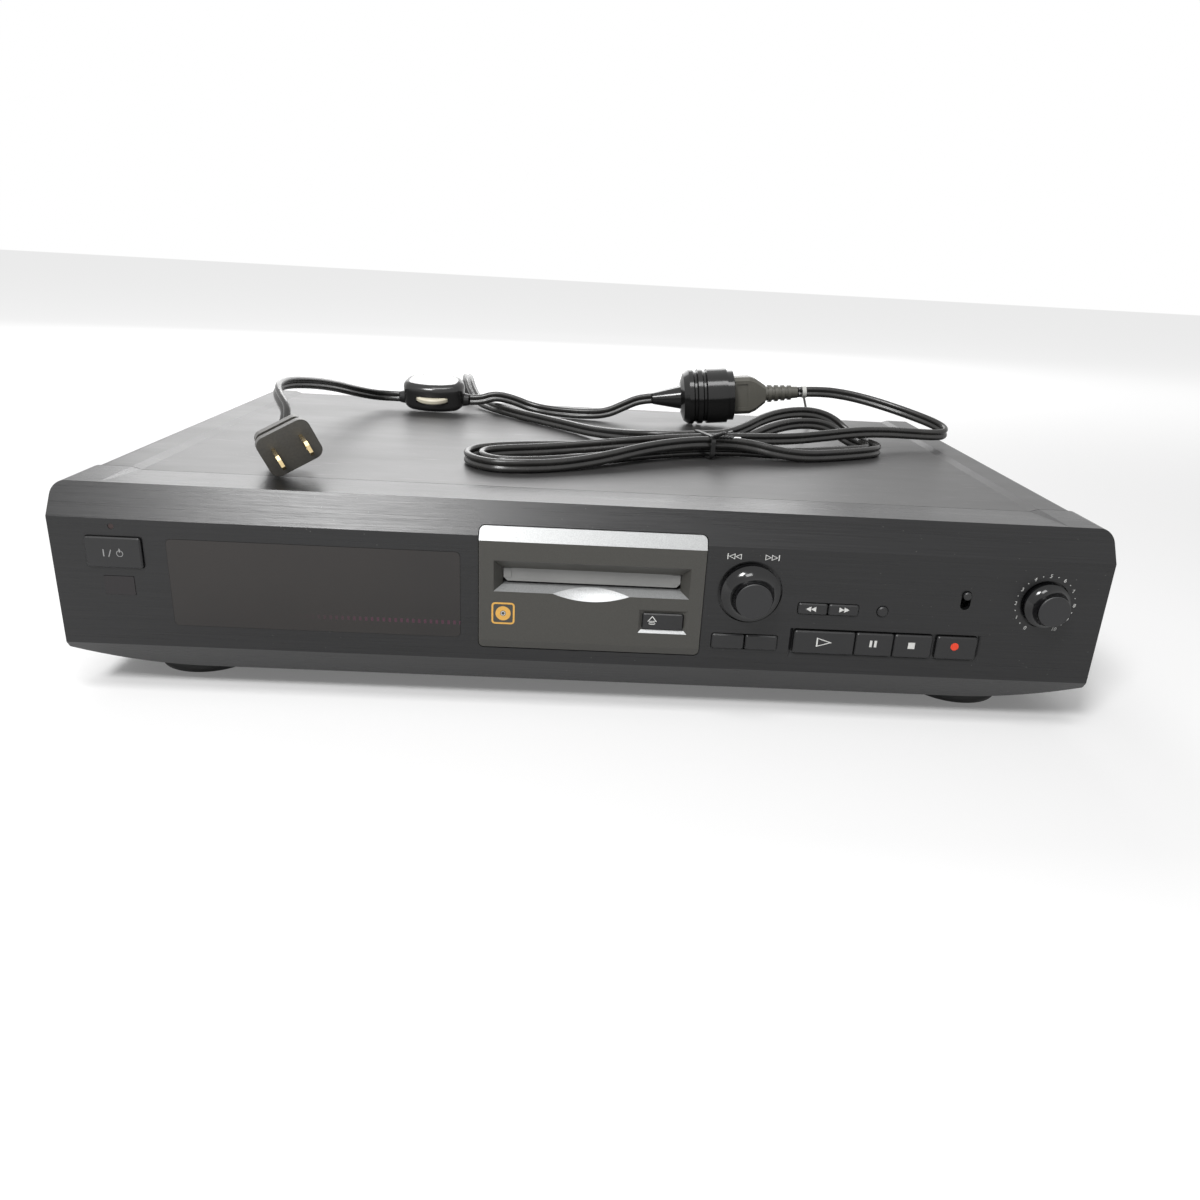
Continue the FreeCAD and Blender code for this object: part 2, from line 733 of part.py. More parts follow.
def key_centres():
    areas = [POWER_BOX, EJECT_BOX, *KEYS.values()]
    centres = [((a[0] + a[1]) / 2, (a[2] + a[3]) / 2) for a in areas]
    return centres + [(DISPLAY_X, DISPLAY_Z)]


def tact_switches():
    """One small push switch behind each key, soldered to the boards."""
    solids = []
    half = SWITCH_SIZE / 2
    face = BOARD_FACE - SWITCH_DEPTH
    for x, z in key_centres():
        body = box(x - half, x + half, face, BOARD_FACE, z - half, z + half)
        plunger = rod(x, face - PLUNGER_REACH, z, PLUNGER_RADIUS, PLUNGER_REACH)
        solids.append(joined([body, plunger]))
    return Part.makeCompound(solids)


# Escutcheon and slot lid

def bezel_notch():
    """The finger scoop, a leaning round cut from the face down to the slot's edge."""
    radius = (NOTCH_WIDTH ** 2 / 4 + NOTCH_DEPTH ** 2) / (2 * NOTCH_DEPTH)
    low = MOUTH_LOW - NOTCH_DEPTH
    depth = FUNNEL_END + BEZEL_PROUD
    lean = (SLOT_LOW - low) / depth
    start = -BEZEL_PROUD - 1
    centre = Vector(NOTCH_X, start, low + radius)
    cone = Part.makeCone(radius + lean, radius - lean * depth, depth + 1, centre, Vector(0, 1, 0))
    half = NOTCH_WIDTH / 2 + 1
    window = box(NOTCH_X - half, NOTCH_X + half, start, FUNNEL_END, low - 1, SLOT_LOW + 0.1)
    return cone.common(window)


def slot_bezel():
    slope = BAND_DEPTH / BAND_HEIGHT
    top_y = (BEZEL_HIGH - BEZEL_CREASE) * slope - BEZEL_PROUD
    outline = [
        (-BEZEL_PROUD, BEZEL_LOW + BEZEL_LOW_FACET),
        (-BEZEL_PROUD, BEZEL_CREASE),
        (top_y, BEZEL_HIGH),
        (BEZEL_BACK, BEZEL_HIGH),
        (BEZEL_BACK, BEZEL_LOW),
        (0, BEZEL_LOW),
    ]
    body = prism_x(outline, BEZEL_LEFT, BEZEL_RIGHT).common(rounded_box(
        BEZEL_LEFT, BEZEL_RIGHT, -BEZEL_PROUD, BEZEL_BACK, BEZEL_LOW, BEZEL_HIGH, BEZEL_CORNER,
    ))
    inner_face = BEZEL_WALL - BEZEL_PROUD
    hollow_outline = [
        (inner_face, BEZEL_LOW + BEZEL_WALL),
        (inner_face, BEZEL_CREASE - 0.5),
        (top_y + 1.2 * BEZEL_WALL, BEZEL_HIGH - BEZEL_WALL),
        (BEZEL_BACK + 1, BEZEL_HIGH - BEZEL_WALL),
        (BEZEL_BACK + 1, BEZEL_LOW + BEZEL_WALL),
    ]
    hollow = prism_x(hollow_outline, BEZEL_LEFT + BEZEL_WALL, BEZEL_RIGHT - BEZEL_WALL)
    slot_left = SLOT_X - SLOT_WIDTH / 2
    slot_right = SLOT_X + SLOT_WIDTH / 2
    pocket_top = SLOT_HIGH + LID_POCKET
    tunnel = box(
        slot_left - TUNNEL_WALL, slot_right + TUNNEL_WALL, inner_face, TUNNEL_END,
        SLOT_LOW - TUNNEL_WALL, pocket_top + TUNNEL_WALL / 2,
    )
    backing = box(
        NOTCH_X - NOTCH_WIDTH / 2, NOTCH_X + NOTCH_WIDTH / 2, inner_face, FUNNEL_END,
        MOUTH_LOW - NOTCH_DEPTH - NOTCH_BACKING, SLOT_LOW - TUNNEL_WALL,
    )
    mouth_left = SLOT_X - MOUTH_WIDTH / 2
    funnel = flared(
        (mouth_left, mouth_left + MOUTH_WIDTH, MOUTH_LOW, MOUTH_HIGH),
        (slot_left, slot_right, SLOT_LOW, SLOT_HIGH), -BEZEL_PROUD, FUNNEL_END,
    )
    passage = box(slot_left, slot_right, FUNNEL_END - 0.1, TUNNEL_END + 1, SLOT_LOW, SLOT_HIGH)
    pocket = box(
        slot_left, slot_right, LID_FACE - 0.4, TUNNEL_END + 1, SLOT_HIGH - 0.1, pocket_top,
    )
    pin_y = LID_FACE + LID_SHEET / 2
    pin_hole = rod(
        slot_left - LID_PIN_LENGTH - 0.2, pin_y, LID_PIVOT_Z, LID_PIN + LID_PIN_PLAY,
        SLOT_WIDTH + 2 * LID_PIN_LENGTH + 0.4, (1, 0, 0),
    )
    eject_recess = flared(
        grown(EJECT_BOX, EJECT_FLARE, EJECT_FLARE, EJECT_FLARE),
        grown(EJECT_BOX, TRAY_FLOOR, TRAY_FLOOR, TRAY_FLOOR), -BEZEL_PROUD, EJECT_RECESS - BEZEL_PROUD,
    )
    eject_hole = key_hole([EJECT_BOX], -BEZEL_PROUD - 1, inner_face + 1)
    frame = joined([body.cut(hollow), tunnel, backing])
    return frame.cut([funnel, passage, pocket, pin_hole, bezel_notch(), eject_recess, eject_hole])


def slot_lid():
    left = SLOT_X - SLOT_WIDTH / 2 + LID_SIDE_GAP
    right = SLOT_X + SLOT_WIDTH / 2 - LID_SIDE_GAP
    pin_y = LID_FACE + LID_SHEET / 2
    low = SLOT_LOW + LID_LOW_GAP
    outline = [
        (left, LID_PIVOT_Z),
        (left, low + LID_CORNER),
        (left + LID_CORNER, low),
        (right - LID_CORNER, low),
        (right, low + LID_CORNER),
        (right, LID_PIVOT_Z),
    ]
    plate = prism_y(outline, LID_FACE, LID_FACE + LID_SHEET)
    pads = []
    for start in (left, right - LID_PAD):
        pads.append(box(
            start, start + LID_PAD, LID_FACE - LID_PAD_PROUD, LID_FACE,
            low + LID_CORNER, LID_PIVOT_Z - LID_SHEET,
        ))
    spine = rod(left, pin_y, LID_PIVOT_Z, LID_SHEET / 2, right - left, (1, 0, 0))
    pins = rod(
        left - LID_PIN_LENGTH, pin_y, LID_PIVOT_Z, LID_PIN,
        right - left + 2 * LID_PIN_LENGTH, (1, 0, 0),
    )
    return joined([plate, spine, pins, *pads])


# Knobs

def knob(x, z, radius, cap, reach, waist_y, rim_y):
    """A knob whose concave flare runs from its rim to a flat cap."""
    tip = -reach
    hub = SHAFT_RADIUS + SHAFT_FIT + HUB_WALL
    start = Vector(x + cap, tip + 0.3, z)
    middle = Vector(x + cap + 0.18 * (radius - cap), waist_y, z)
    end = Vector(x + radius, rim_y, z)
    points = [
        (radius, KNOB_SKIRT),
        (radius - KNOB_WALL, KNOB_SKIRT),
        (radius - KNOB_WALL, rim_y + 0.8),
        (hub, rim_y - 0.4),
        (hub, KNOB_SKIRT),
        (0, KNOB_SKIRT),
        (0, tip),
        (cap - 0.3, tip),
    ]
    edges = [Part.LineSegment(end, Vector(x + radius, KNOB_SKIRT, z)).toShape()]
    for first, second in zip(points[:-1], points[1:]):
        a = Vector(x + first[0], first[1], z)
        b = Vector(x + second[0], second[1], z)
        edges.append(Part.LineSegment(a, b).toShape())
    edges.append(Part.LineSegment(Vector(x + cap - 0.3, tip, z), start).toShape())
    edges.append(Part.Arc(start, middle, end).toShape())
    face = Part.Face(Part.Wire(edges))
    body = face.revolve(Vector(x, 0, z), Vector(0, 1, 0), 360)
    bore = rod(x, SHAFT_TIP - 1, z, SHAFT_RADIUS + SHAFT_FIT, KNOB_SKIRT - SHAFT_TIP + 2)
    return body.cut(bore)


def shaft(x, z):
    return rod(x, SHAFT_TIP, z, SHAFT_RADIUS, ENCODER_FACE + 3 - SHAFT_TIP)


def control_body(x, z, body):
    """A rotary control: its body on the board and the bush that its shaft turns in."""
    bush_front = PANEL_WALL + SEAM
    bush = rod(x, bush_front, z, SHAFT_RADIUS + BUSH_WALL, ENCODER_FACE - bush_front)
    bore = rod(x, 0, z, SHAFT_RADIUS + SHAFT_FIT, ENCODER_FACE + 3.2)
    return joined([body, bush]).cut(bore)


def jog_encoder():
    half = ENCODER_SIZE / 2
    body = box(JOG_X - half, JOG_X + half, ENCODER_FACE, BOARD_FACE, JOG_Z - half, JOG_Z + half)
    return control_body(JOG_X, JOG_Z, body)


def level_control():
    body = rod(LEVEL_X, ENCODER_FACE, LEVEL_Z, CONTROL_RADIUS, BOARD_FACE - ENCODER_FACE)
    return control_body(LEVEL_X, LEVEL_Z, body)


# Input switch

def input_lever():
    """The lever at the top of its slot, where the photograph shows it."""
    z = INPUT_Z + (INPUT_SLOT_HEIGHT - INPUT_SLOT_WIDTH) / 2
    radius = INPUT_SLOT_WIDTH / 2 - LEVER_GAP
    bar = rod(INPUT_X, -LEVER_PROUD, z, radius, LEVER_PROUD + INPUT_FACE + 2)
    return chamfer_front(bar, -LEVER_PROUD, LEVER_CHAMFER)


def input_switch():
    half = INPUT_SLOT_WIDTH / 2 + INPUT_MARGIN
    reach = INPUT_SLOT_HEIGHT / 2 + INPUT_MARGIN
    body = box(
        INPUT_X - half, INPUT_X + half, INPUT_FACE, BOARD_FACE,
        INPUT_Z - reach, INPUT_Z + reach,
    )
    slot = obround(
        INPUT_X, INPUT_Z, INPUT_SLOT_WIDTH, INPUT_SLOT_HEIGHT, INPUT_FACE - 1, INPUT_FACE + 2.4,
    )
    return body.cut(slot)


# Boards and display

def display_board():
    return box(
        -BOARD_END, BEZEL_LEFT - 3, BOARD_FACE, BOARD_FACE + BOARD_SHEET,
        BOARD_LOW, BOARD_HIGH,
    )


def key_board():
    """The right hand board, with an arm under the slot for the eject switch."""
    arm = EJECT_BOX[0] - 4
    step = BEZEL_RIGHT + 1
    shelf = SLOT_LOW - TUNNEL_WALL - 1
    outline = [
        (arm, BOARD_LOW),
        (BOARD_END, BOARD_LOW),
        (BOARD_END, BOARD_HIGH),
        (step, BOARD_HIGH),
        (step, shelf),
        (arm, shelf),
    ]
    return prism_y(outline, BOARD_FACE, BOARD_FACE + BOARD_SHEET)


def display_tube():
    return box(
        WINDOW_LEFT + TUBE_MARGIN, WINDOW_LEFT + WINDOW_WIDTH - TUBE_MARGIN,
        BOARD_FACE - TUBE_DEPTH, BOARD_FACE,
        WINDOW_LOW + TUBE_MARGIN / 2, WINDOW_LOW + WINDOW_HEIGHT - TUBE_MARGIN / 2,
    )


# Case sheet metal

def cover_profile(inset):
    """The cover's section in x and z, with round shoulders and a sunk middle."""
    half = COVER_HALF - inset
    top = CASE_TOP - inset
    corner = COVER_CORNER - inset
    slant = corner * (1 - math.sqrt(0.5))
    crease = HALF_WIDTH - CREASE_MARGIN
    sunk = LID_TOP - inset
    edges = []
    for side in (1, -1):
        outer = Vector(side * half, 0, top - corner)
        inner = Vector(side * (half - corner), 0, top)
        middle = Vector(side * (half - slant), 0, top - slant)
        fold = Vector(side * crease, 0, top)
        sink = Vector(side * (crease - CREASE_WIDTH), 0, sunk)
        foot = Vector(side * half, 0, COVER_LOW)
        edges.append(Part.LineSegment(foot, outer))
        edges.append(Part.Arc(outer, middle, inner))
        edges.append(Part.LineSegment(inner, fold))
        edges.append(Part.LineSegment(fold, sink))
    reach = crease - CREASE_WIDTH
    edges.append(Part.LineSegment(Vector(-reach, 0, sunk), Vector(reach, 0, sunk)))
    edges.append(Part.LineSegment(Vector(-half, 0, COVER_LOW), Vector(half, 0, COVER_LOW)))
    loop = Part.__sortEdges__([edge.toShape() for edge in edges])
    return Part.Face(Part.Wire(loop))


def top_cover():
    length = CASE_DEPTH - PANEL_DEPTH - SEAM
    outer = cover_profile(0).extrude(Vector(0, length, 0))
    inner = cover_profile(COVER_SHEET).extrude(Vector(0, length, 0))
    shell = outer.cut(inner)
    shell.translate(Vector(0, PANEL_DEPTH + SEAM, 0))
    flange = box(
        -COVER_HALF + COVER_CORNER, COVER_HALF - COVER_CORNER,
        CASE_DEPTH - COVER_SHEET, CASE_DEPTH,
        LID_TOP - REAR_FLANGE, LID_TOP - COVER_SHEET / 2,
    )
    return joined([shell, flange]).cut(screw_holes())


def screw_places():
    """Where each cover screw's head sits, and the way its shank points."""
    places = []
    for y in SIDE_SCREWS_Y:
        places.append(((-COVER_HALF, y, SIDE_SCREW_Z), (1, 0, 0)))
        places.append(((COVER_HALF, y, SIDE_SCREW_Z), (-1, 0, 0)))
    for x in REAR_SCREWS_X:
        places.append(((x, CASE_DEPTH, LID_TOP - REAR_SCREW_DROP), (0, -1, 0)))
    return places


def screw_holes():
    holes = []
    for (x, y, z), way in screw_places():
        start = Vector(x, y, z) - Vector(*way)
        hole = Part.makeCylinder(SCREW_SHANK + SCREW_PLAY, SCREW_LENGTH, start, Vector(*way))
        holes.append(hole)
    return holes


def case_screws():
    """Seven screws with low domed heads."""
    solids = []
    for (x, y, z), way in screw_places():
        place = Vector(x, y, z)
        out = Vector(*way) * -1
        rim = 0.5 * SCREW_HEAD_HEIGHT
        drum = Part.makeCylinder(SCREW_HEAD, rim, place, out)
        dome = Part.makeCone(SCREW_HEAD, 0.7 * SCREW_HEAD, SCREW_HEAD_HEIGHT - rim, place + out * rim, out)
        shank = Part.makeCylinder(SCREW_SHANK, SCREW_LENGTH, place, Vector(*way))
        solids.append(joined([drum, dome, shank]))
    return Part.makeCompound(solids)


def chassis():
    front = LIP_DEPTH + SEAM
    back = REAR_FACE - REAR_SHEET
    sheet = CHASSIS_SHEET
    base = box(-CHASSIS_HALF, CHASSIS_HALF, front, back, FOOT_HEIGHT, CHASSIS_TOP)
    parts = [base]
    for side in (-1, 1):
        edges = sorted((side * CHASSIS_HALF, side * (CHASSIS_HALF - sheet)))
        flange_top = FOOT_HEIGHT + CHASSIS_FLANGE
        parts.append(box(edges[0], edges[1], front, back, FOOT_HEIGHT, flange_top))
    left, right, near, far = MAIN_BOARD_BOX
    for x in (left + POST_MARGIN, right - POST_MARGIN):
        for y in (near + POST_MARGIN, far - POST_MARGIN):
            parts.append(rod(x, y, FOOT_HEIGHT, POST_RADIUS, MAIN_BOARD_Z - FOOT_HEIGHT, (0, 0, 1)))
    corners = []
    for start in (-HALF_WIDTH, HALF_WIDTH - CHASSIS_CORNER):
        corners.append(box(
            start, start + CHASSIS_CORNER, 0, PANEL_DEPTH + SEAM, 0, FOOT_HEIGHT + CHASSIS_FLANGE + 1,
        ))
    return joined(parts).cut(screw_holes() + corners)


def rear_panel():
    half = CHASSIS_HALF - CHASSIS_SHEET - SEAM
    near = REAR_FACE - REAR_SHEET
    sheet = box(-half, half, near, REAR_FACE, FOOT_HEIGHT, LID_TOP - COVER_SHEET - SEAM)
    cuts = screw_holes()
    cuts.append(rod(BUSHING_X, near - 1, BUSHING_Z, BUSHING_NECK + 0.05, 4))
    for x in JACK_X:
        for z in JACK_Z:
            cuts.append(rod(x, near - 1, z, JACK_COLLAR + 0.15, 4))
    for x in OPTICAL_X:
        cuts.append(box(
            x - OPTICAL_WIDTH / 2 - 0.2, x + OPTICAL_WIDTH / 2 + 0.2, near - 1, REAR_FACE + 1,
            OPTICAL_Z - OPTICAL_HEIGHT / 2 - 0.2, OPTICAL_Z + OPTICAL_HEIGHT / 2 + 0.2,
        ))
    return sheet.cut(cuts)


def feet():
    solids = []
    for x in (-FOOT_SPREAD, FOOT_SPREAD):
        for y in (FOOT_FRONT, FOOT_REAR):
            cone = Part.makeCone(FOOT_RADIUS - FOOT_BEVEL, FOOT_RADIUS, 2.0, Vector(x, y, 0))
            drum = rod(x, y, 2.0, FOOT_RADIUS, FOOT_HEIGHT - 2.0, (0, 0, 1))
            bore = rod(x, y, -1, FOOT_BORE, FOOT_HEIGHT - 2.0, (0, 0, 1))
            solids.append(joined([cone, drum]).cut(bore))
    return Part.makeCompound(solids)


# Rear connectors

def line_jacks():
    """Four phono sleeves with their collars, on one moulded block."""
    face = REAR_FACE - REAR_SHEET
    collar_end = REAR_FACE + JACK_COLLAR_PROUD
    end = CASE_DEPTH + JACK_REACH
    parts = [box(
        JACK_X[0] - JACK_MARGIN, JACK_X[1] + JACK_MARGIN, face - JACK_BLOCK_DEPTH, face,
        JACK_Z[0] - JACK_MARGIN, JACK_Z[1] + JACK_MARGIN,
    )]
    bores = []
    for x in JACK_X:
        for z in JACK_Z:
            parts.append(rod(x, face - 1, z, JACK_COLLAR, collar_end - face + 1))
            parts.append(rod(x, face, z, JACK_RADIUS, end - face))
            bores.append(rod(x, end - JACK_BORE_DEPTH, z, JACK_BORE, JACK_BORE_DEPTH + 1))
    return joined(parts).cut(bores)


def optical_sockets():
    solids = []
    end = CASE_DEPTH + OPTICAL_REACH
    for x in OPTICAL_X:
        body = box(
            x - OPTICAL_WIDTH / 2, x + OPTICAL_WIDTH / 2, end - OPTICAL_DEPTH, end,
            OPTICAL_Z - OPTICAL_HEIGHT / 2, OPTICAL_Z + OPTICAL_HEIGHT / 2,
        )
        half = OPTICAL_PORT / 2
        port = box(
            x - half, x + half, end - OPTICAL_PORT_DEPTH, end + 1,
            OPTICAL_Z - half, OPTICAL_Z + half,
        )
        solids.append(body.cut(port))
    return Part.makeCompound(solids)


def cord_bushing():
    """The strain relief of the captive lead, snapped into the rear panel."""
    near = REAR_FACE - REAR_SHEET
    profile = [
        (0, near - 3),
        (BUSHING_NECK, near - 3),
        (BUSHING_NECK, REAR_FACE),
        (BUSHING_COLLAR, REAR_FACE),
        (BUSHING_COLLAR, REAR_FACE + 2.5),
        (BUSHING_NECK - 0.5, REAR_FACE + 3.5),
        (BUSHING_TAIL, REAR_FACE + BUSHING_LENGTH),
        (0, REAR_FACE + BUSHING_LENGTH),
    ]
    return turned(BUSHING_X, BUSHING_Z, profile)


# Power supply and main board

def mains_transformer():
    """A laminated core with its winding, standing on two ears."""
    x = TRANSFORMER_X
    y = TRANSFORMER_Y
    z = CHASSIS_TOP
    half = CORE_WIDTH / 2
    near = y - CORE_DEPTH / 2
    far = y + CORE_DEPTH / 2
    core = box(x - half, x + half, near, far, z, z + CORE_HEIGHT)
    winding = rounded_box(
        x - CORE_WIDTH / 3, x + CORE_WIDTH / 3, y - WINDING_DEPTH / 2, y + WINDING_DEPTH / 2,
        z + CORE_HEIGHT / 5, z + CORE_HEIGHT * 4 / 5, 3.0,
    )
    ears = box(x - half - EAR_REACH, x + half + EAR_REACH, near + 6, far - 6, z, z + EAR_SHEET)
    strap = box(x - half - 1, x + half + 1, near + 6, far - 6, z, z + CORE_HEIGHT + 1)
    return joined([core, winding, ears, strap])


def main_board():
    """The board with its largest parts: two capacitors, one chip and a finned heat sink."""
    left, right, near, far = MAIN_BOARD_BOX
    top = MAIN_BOARD_Z + BOARD_SHEET
    parts = [box(left, right, near, far, MAIN_BOARD_Z, top)]
    for place in CAPACITOR_PLACES:
        capacitor = rod(left + place, near + 20, top, CAPACITOR_RADIUS, CAPACITOR_HEIGHT, (0, 0, 1))
        parts.append(capacitor)
    chip = right - 20 - CHIP_SIZE
    parts.append(box(chip, chip + CHIP_SIZE, near + 30, near + 30 + CHIP_SIZE, top, top + CHIP_HEIGHT))
    sink = left + 14
    back = near + 68
    sink_top = top + HEAT_SINK_HEIGHT
    parts.append(box(sink, sink + HEAT_SINK_WIDTH, back, back + 2, top, sink_top))
    pitch = (HEAT_SINK_WIDTH - 1.5) / (HEAT_SINK_FINS - 1)
    for number in range(HEAT_SINK_FINS):
        fin = sink + number * pitch
        parts.append(box(fin, fin + 1.5, back - 8, back + 1, top, sink_top))
    return joined(parts)


# Gears and racks

def gear_outline():
    """Straight sided teeth about the origin, with a tooth on the first axis."""
    tip = PITCH_RADIUS + 0.8 * GEAR_MODULE
    root = PITCH_RADIUS - 1.1 * GEAR_MODULE
    step = 2 * math.pi / GEAR_TEETH
    thick = (TOOTH_PITCH / 2 - TOOTH_PLAY) / PITCH_RADIUS / 2
    slope = 0.4 * GEAR_MODULE / PITCH_RADIUS
    tooth_corners = (
        (-thick - slope, root),
        (-thick + slope, tip),
        (thick - slope, tip),
        (thick + slope, root),
    )
    points = []
    for tooth in range(GEAR_TEETH):
        middle = tooth * step
        for angle, radius in tooth_corners:
            points.append((radius * math.cos(middle + angle), radius * math.sin(middle + angle)))
    return points


def rack_outline(length, depth):
    """Teeth along the first axis from 0 to length, pointing up, on a bar of a given depth."""
    count = int(length / TOOTH_PITCH)
    tip = 0.8 * GEAR_MODULE
    root = -1.1 * GEAR_MODULE
    half = TOOTH_PITCH / 4 - TOOTH_PLAY / 2
    slope = 0.4 * GEAR_MODULE
    points = [(0, root)]
    for tooth in range(count):
        middle = (tooth + 0.5) * TOOTH_PITCH
        points += [
            (middle - half - slope, root),
            (middle - half + slope, tip),
            (middle + half - slope, tip),
            (middle + half + slope, root),
        ]
    points += [(length, root), (length, -depth), (0, -depth)]
    return points


def loading_gear_place():
    """Centre of the loading gear below the slider's rack, in y and z."""
    return LOADING_GEAR_Y, RACK_Z - PITCH_RADIUS


def geared_shaft(solid_gear, shaft_start, axis, reach):
    pin = Part.makeCylinder(GEAR_SHAFT, reach, Vector(*shaft_start), Vector(*axis))
    return joined([solid_gear, pin])


def loading_gear():
    y, z = loading_gear_place()
    outline = [(y + a, z + b) for a, b in gear_outline()]
    right = SLIDER_X + SLIDER_SHEET
    gear = prism_x(outline, right - GEAR_SHEET, right)
    reach = GEAR_SHEET + SEAM + DECK_WALL + MOTOR_BORE
    return geared_shaft(gear, (right - GEAR_SHEET, y, z), (1, 0, 0), reach)


def sled_gear():
    outline = [(SLED_GEAR_X + a, SLED_GEAR_Y + b) for a, b in gear_outline()]
    gear = prism_z(outline, SLED_GEAR_Z, SLED_GEAR_Z + GEAR_SHEET)
    start = SLED_GEAR_Z - SEAM - MOTOR_BORE
    reach = GEAR_SHEET + SEAM + MOTOR_BORE
    return geared_shaft(gear, (SLED_GEAR_X, SLED_GEAR_Y, start), (0, 0, 1), reach)


def drive_motors():
    """The loading motor inside the left wall and the sled motor on the deck plate."""
    y, z = loading_gear_place()
    wall = SLOT_X - DECK_HALF + DECK_WALL
    loading = rod(wall, y, z, MOTOR_RADIUS, MOTOR_LENGTH, (1, 0, 0))
    loading = loading.cut(rod(wall - 1, y, z, GEAR_SHAFT + 0.06, MOTOR_BORE + 1.2, (1, 0, 0)))
    low = DECK_PLATE_Z + DECK_PLATE
    top = SLED_GEAR_Z - SEAM
    sled = rod(SLED_GEAR_X, SLED_GEAR_Y, low, MOTOR_RADIUS, top - low, (0, 0, 1))
    bore_start = top - MOTOR_BORE - 0.2
    bore = rod(SLED_GEAR_X, SLED_GEAR_Y, bore_start, GEAR_SHAFT + 0.06, 10, (0, 0, 1))
    return Part.makeCompound([loading, sled.cut(bore)])


# Disc mechanism

def mechanism_base():
    """The deck plate on four legs, with side walls that guide the disc holder."""
    left = SLOT_X - DECK_HALF
    right = SLOT_X + DECK_HALF
    top = DECK_PLATE_Z + DECK_PLATE
    parts = [box(left, right, DECK_FRONT, DECK_BACK, DECK_PLATE_Z, top)]
    wall_back = HOLDER_BACK + 6
    parts.append(box(left, left + DECK_WALL, DECK_FRONT + 3, wall_back, top, DECK_WALL_TOP))
    parts.append(box(right - DECK_WALL, right, DECK_FRONT + 3, wall_back, top, DECK_WALL_TOP))
    for x in (left + 6, right - 6):
        for y in (DECK_FRONT + 10, DECK_BACK - 10):
            parts.append(rod(x, y, CHASSIS_TOP, LEG_RADIUS, DECK_PLATE_Z - CHASSIS_TOP, (0, 0, 1)))
    for side in (-1, 1):
        x = SLOT_X + side * ROD_SPREAD
        for y in (ROD_FRONT, ROD_BACK - 3):
            parts.append(box(x - 2.5, x + 2.5, y, y + 3, top, ROD_Z + ROD_RADIUS + 1))
    cuts = []
    for side in (-1, 1):
        cuts.append(rod(SLOT_X + side * ROD_SPREAD, ROD_FRONT - 1, ROD_Z, ROD_RADIUS + 0.05, 90))
    play = CAM_PIN + CAM_PLAY
    for y in CAM_PINS_Y:
        cuts.append(box(left - 1, right + 1, y - play, y + play, HOLDER_Z - HOLDER_DROP - play,
                        HOLDER_Z + play))
    gear_y, gear_z = loading_gear_place()
    cuts.append(rod(left - 1, gear_y, gear_z, GEAR_SHAFT + 0.3, DECK_WALL + 1.5, (1, 0, 0)))
    return joined(parts).cut(cuts)


def disc_holder():
    """A cage that the cartridge slides into, with four cam pins at its sides."""
    half = CARTRIDGE_WIDTH / 2 + CARTRIDGE_PLAY
    rise = CARTRIDGE_HEIGHT / 2 + CARTRIDGE_PLAY
    outer = half + HOLDER_SHEET
    shell = box(
        SLOT_X - outer, SLOT_X + outer, HOLDER_FRONT, HOLDER_BACK,
        HOLDER_Z - rise - HOLDER_SHEET, HOLDER_Z + rise + HOLDER_SHEET,
    )
    bay = box(
        SLOT_X - half, SLOT_X + half, HOLDER_FRONT - 1, HOLDER_BACK - HOLDER_SHEET,
        HOLDER_Z - rise, HOLDER_Z + rise,
    )
    ledge = half - HOLDER_LEDGE
    floor = box(
        SLOT_X - ledge, SLOT_X + ledge, HOLDER_FRONT - 1, HOLDER_BACK + 1,
        HOLDER_Z - rise - HOLDER_SHEET - 1, HOLDER_Z,
    )
    head_slot = box(
        SLOT_X - HEAD_SLOT / 2, SLOT_X + HEAD_SLOT / 2, HEAD_SLOT_START, HOLDER_BACK + 1,
        HOLDER_Z - 1, HOLDER_Z + rise + HOLDER_SHEET + 1,
    )
    cage = shell.cut([bay, floor, head_slot])
    pins = []
    left_reach = SLOT_X - SLIDER_X - outer + 0.4
    right_reach = DECK_HALF - outer + 0.4
    for y in CAM_PINS_Y:
        pins.append(rod(SLOT_X - outer - left_reach, y, HOLDER_Z, CAM_PIN, left_reach, (1, 0, 0)))
        pins.append(rod(SLOT_X + outer, y, HOLDER_Z, CAM_PIN, right_reach, (1, 0, 0)))
    return joined([cage] + pins)


def loading_slider():
    """A plate outside the left wall whose ramps lower the holder as it moves back."""
    front = SLIDER_Y - SLIDER_LENGTH / 2
    back = SLIDER_Y + SLIDER_LENGTH / 2
    right = SLIDER_X + SLIDER_SHEET
    body_low = RACK_Z + 1.1 * GEAR_MODULE
    plate = box(SLIDER_X, right, front, back, body_low, body_low + SLIDER_HEIGHT)
    rack_start = LOADING_GEAR_Y - 10 * TOOTH_PITCH
    rack = [(rack_start + a, RACK_Z - b) for a, b in rack_outline(34.0, 3.0)]
    slider = joined([plate, prism_x(rack, SLIDER_X, right)])
    run = math.hypot(SLIDER_TRAVEL, HOLDER_DROP)
    along = (SLIDER_TRAVEL / run, HOLDER_DROP / run)
    across = (-along[1], along[0])
    play = CAM_PIN + CAM_PLAY
    ramps = []
    for y in CAM_PINS_Y:
        low = (y - SLIDER_TRAVEL - play * along[0], HOLDER_Z - HOLDER_DROP - play * along[1])
        high = (y + play * along[0], HOLDER_Z + play * along[1])
        outline = [
            (low[0] - play * across[0], low[1] - play * across[1]),
            (high[0] - play * across[0], high[1] - play * across[1]),
            (high[0] + play * across[0], high[1] + play * across[1]),
            (low[0] + play * across[0], low[1] + play * across[1]),
        ]
        ramps.append(prism_x(outline, SLIDER_X - 1, right + 1))
    return slider.cut(ramps)


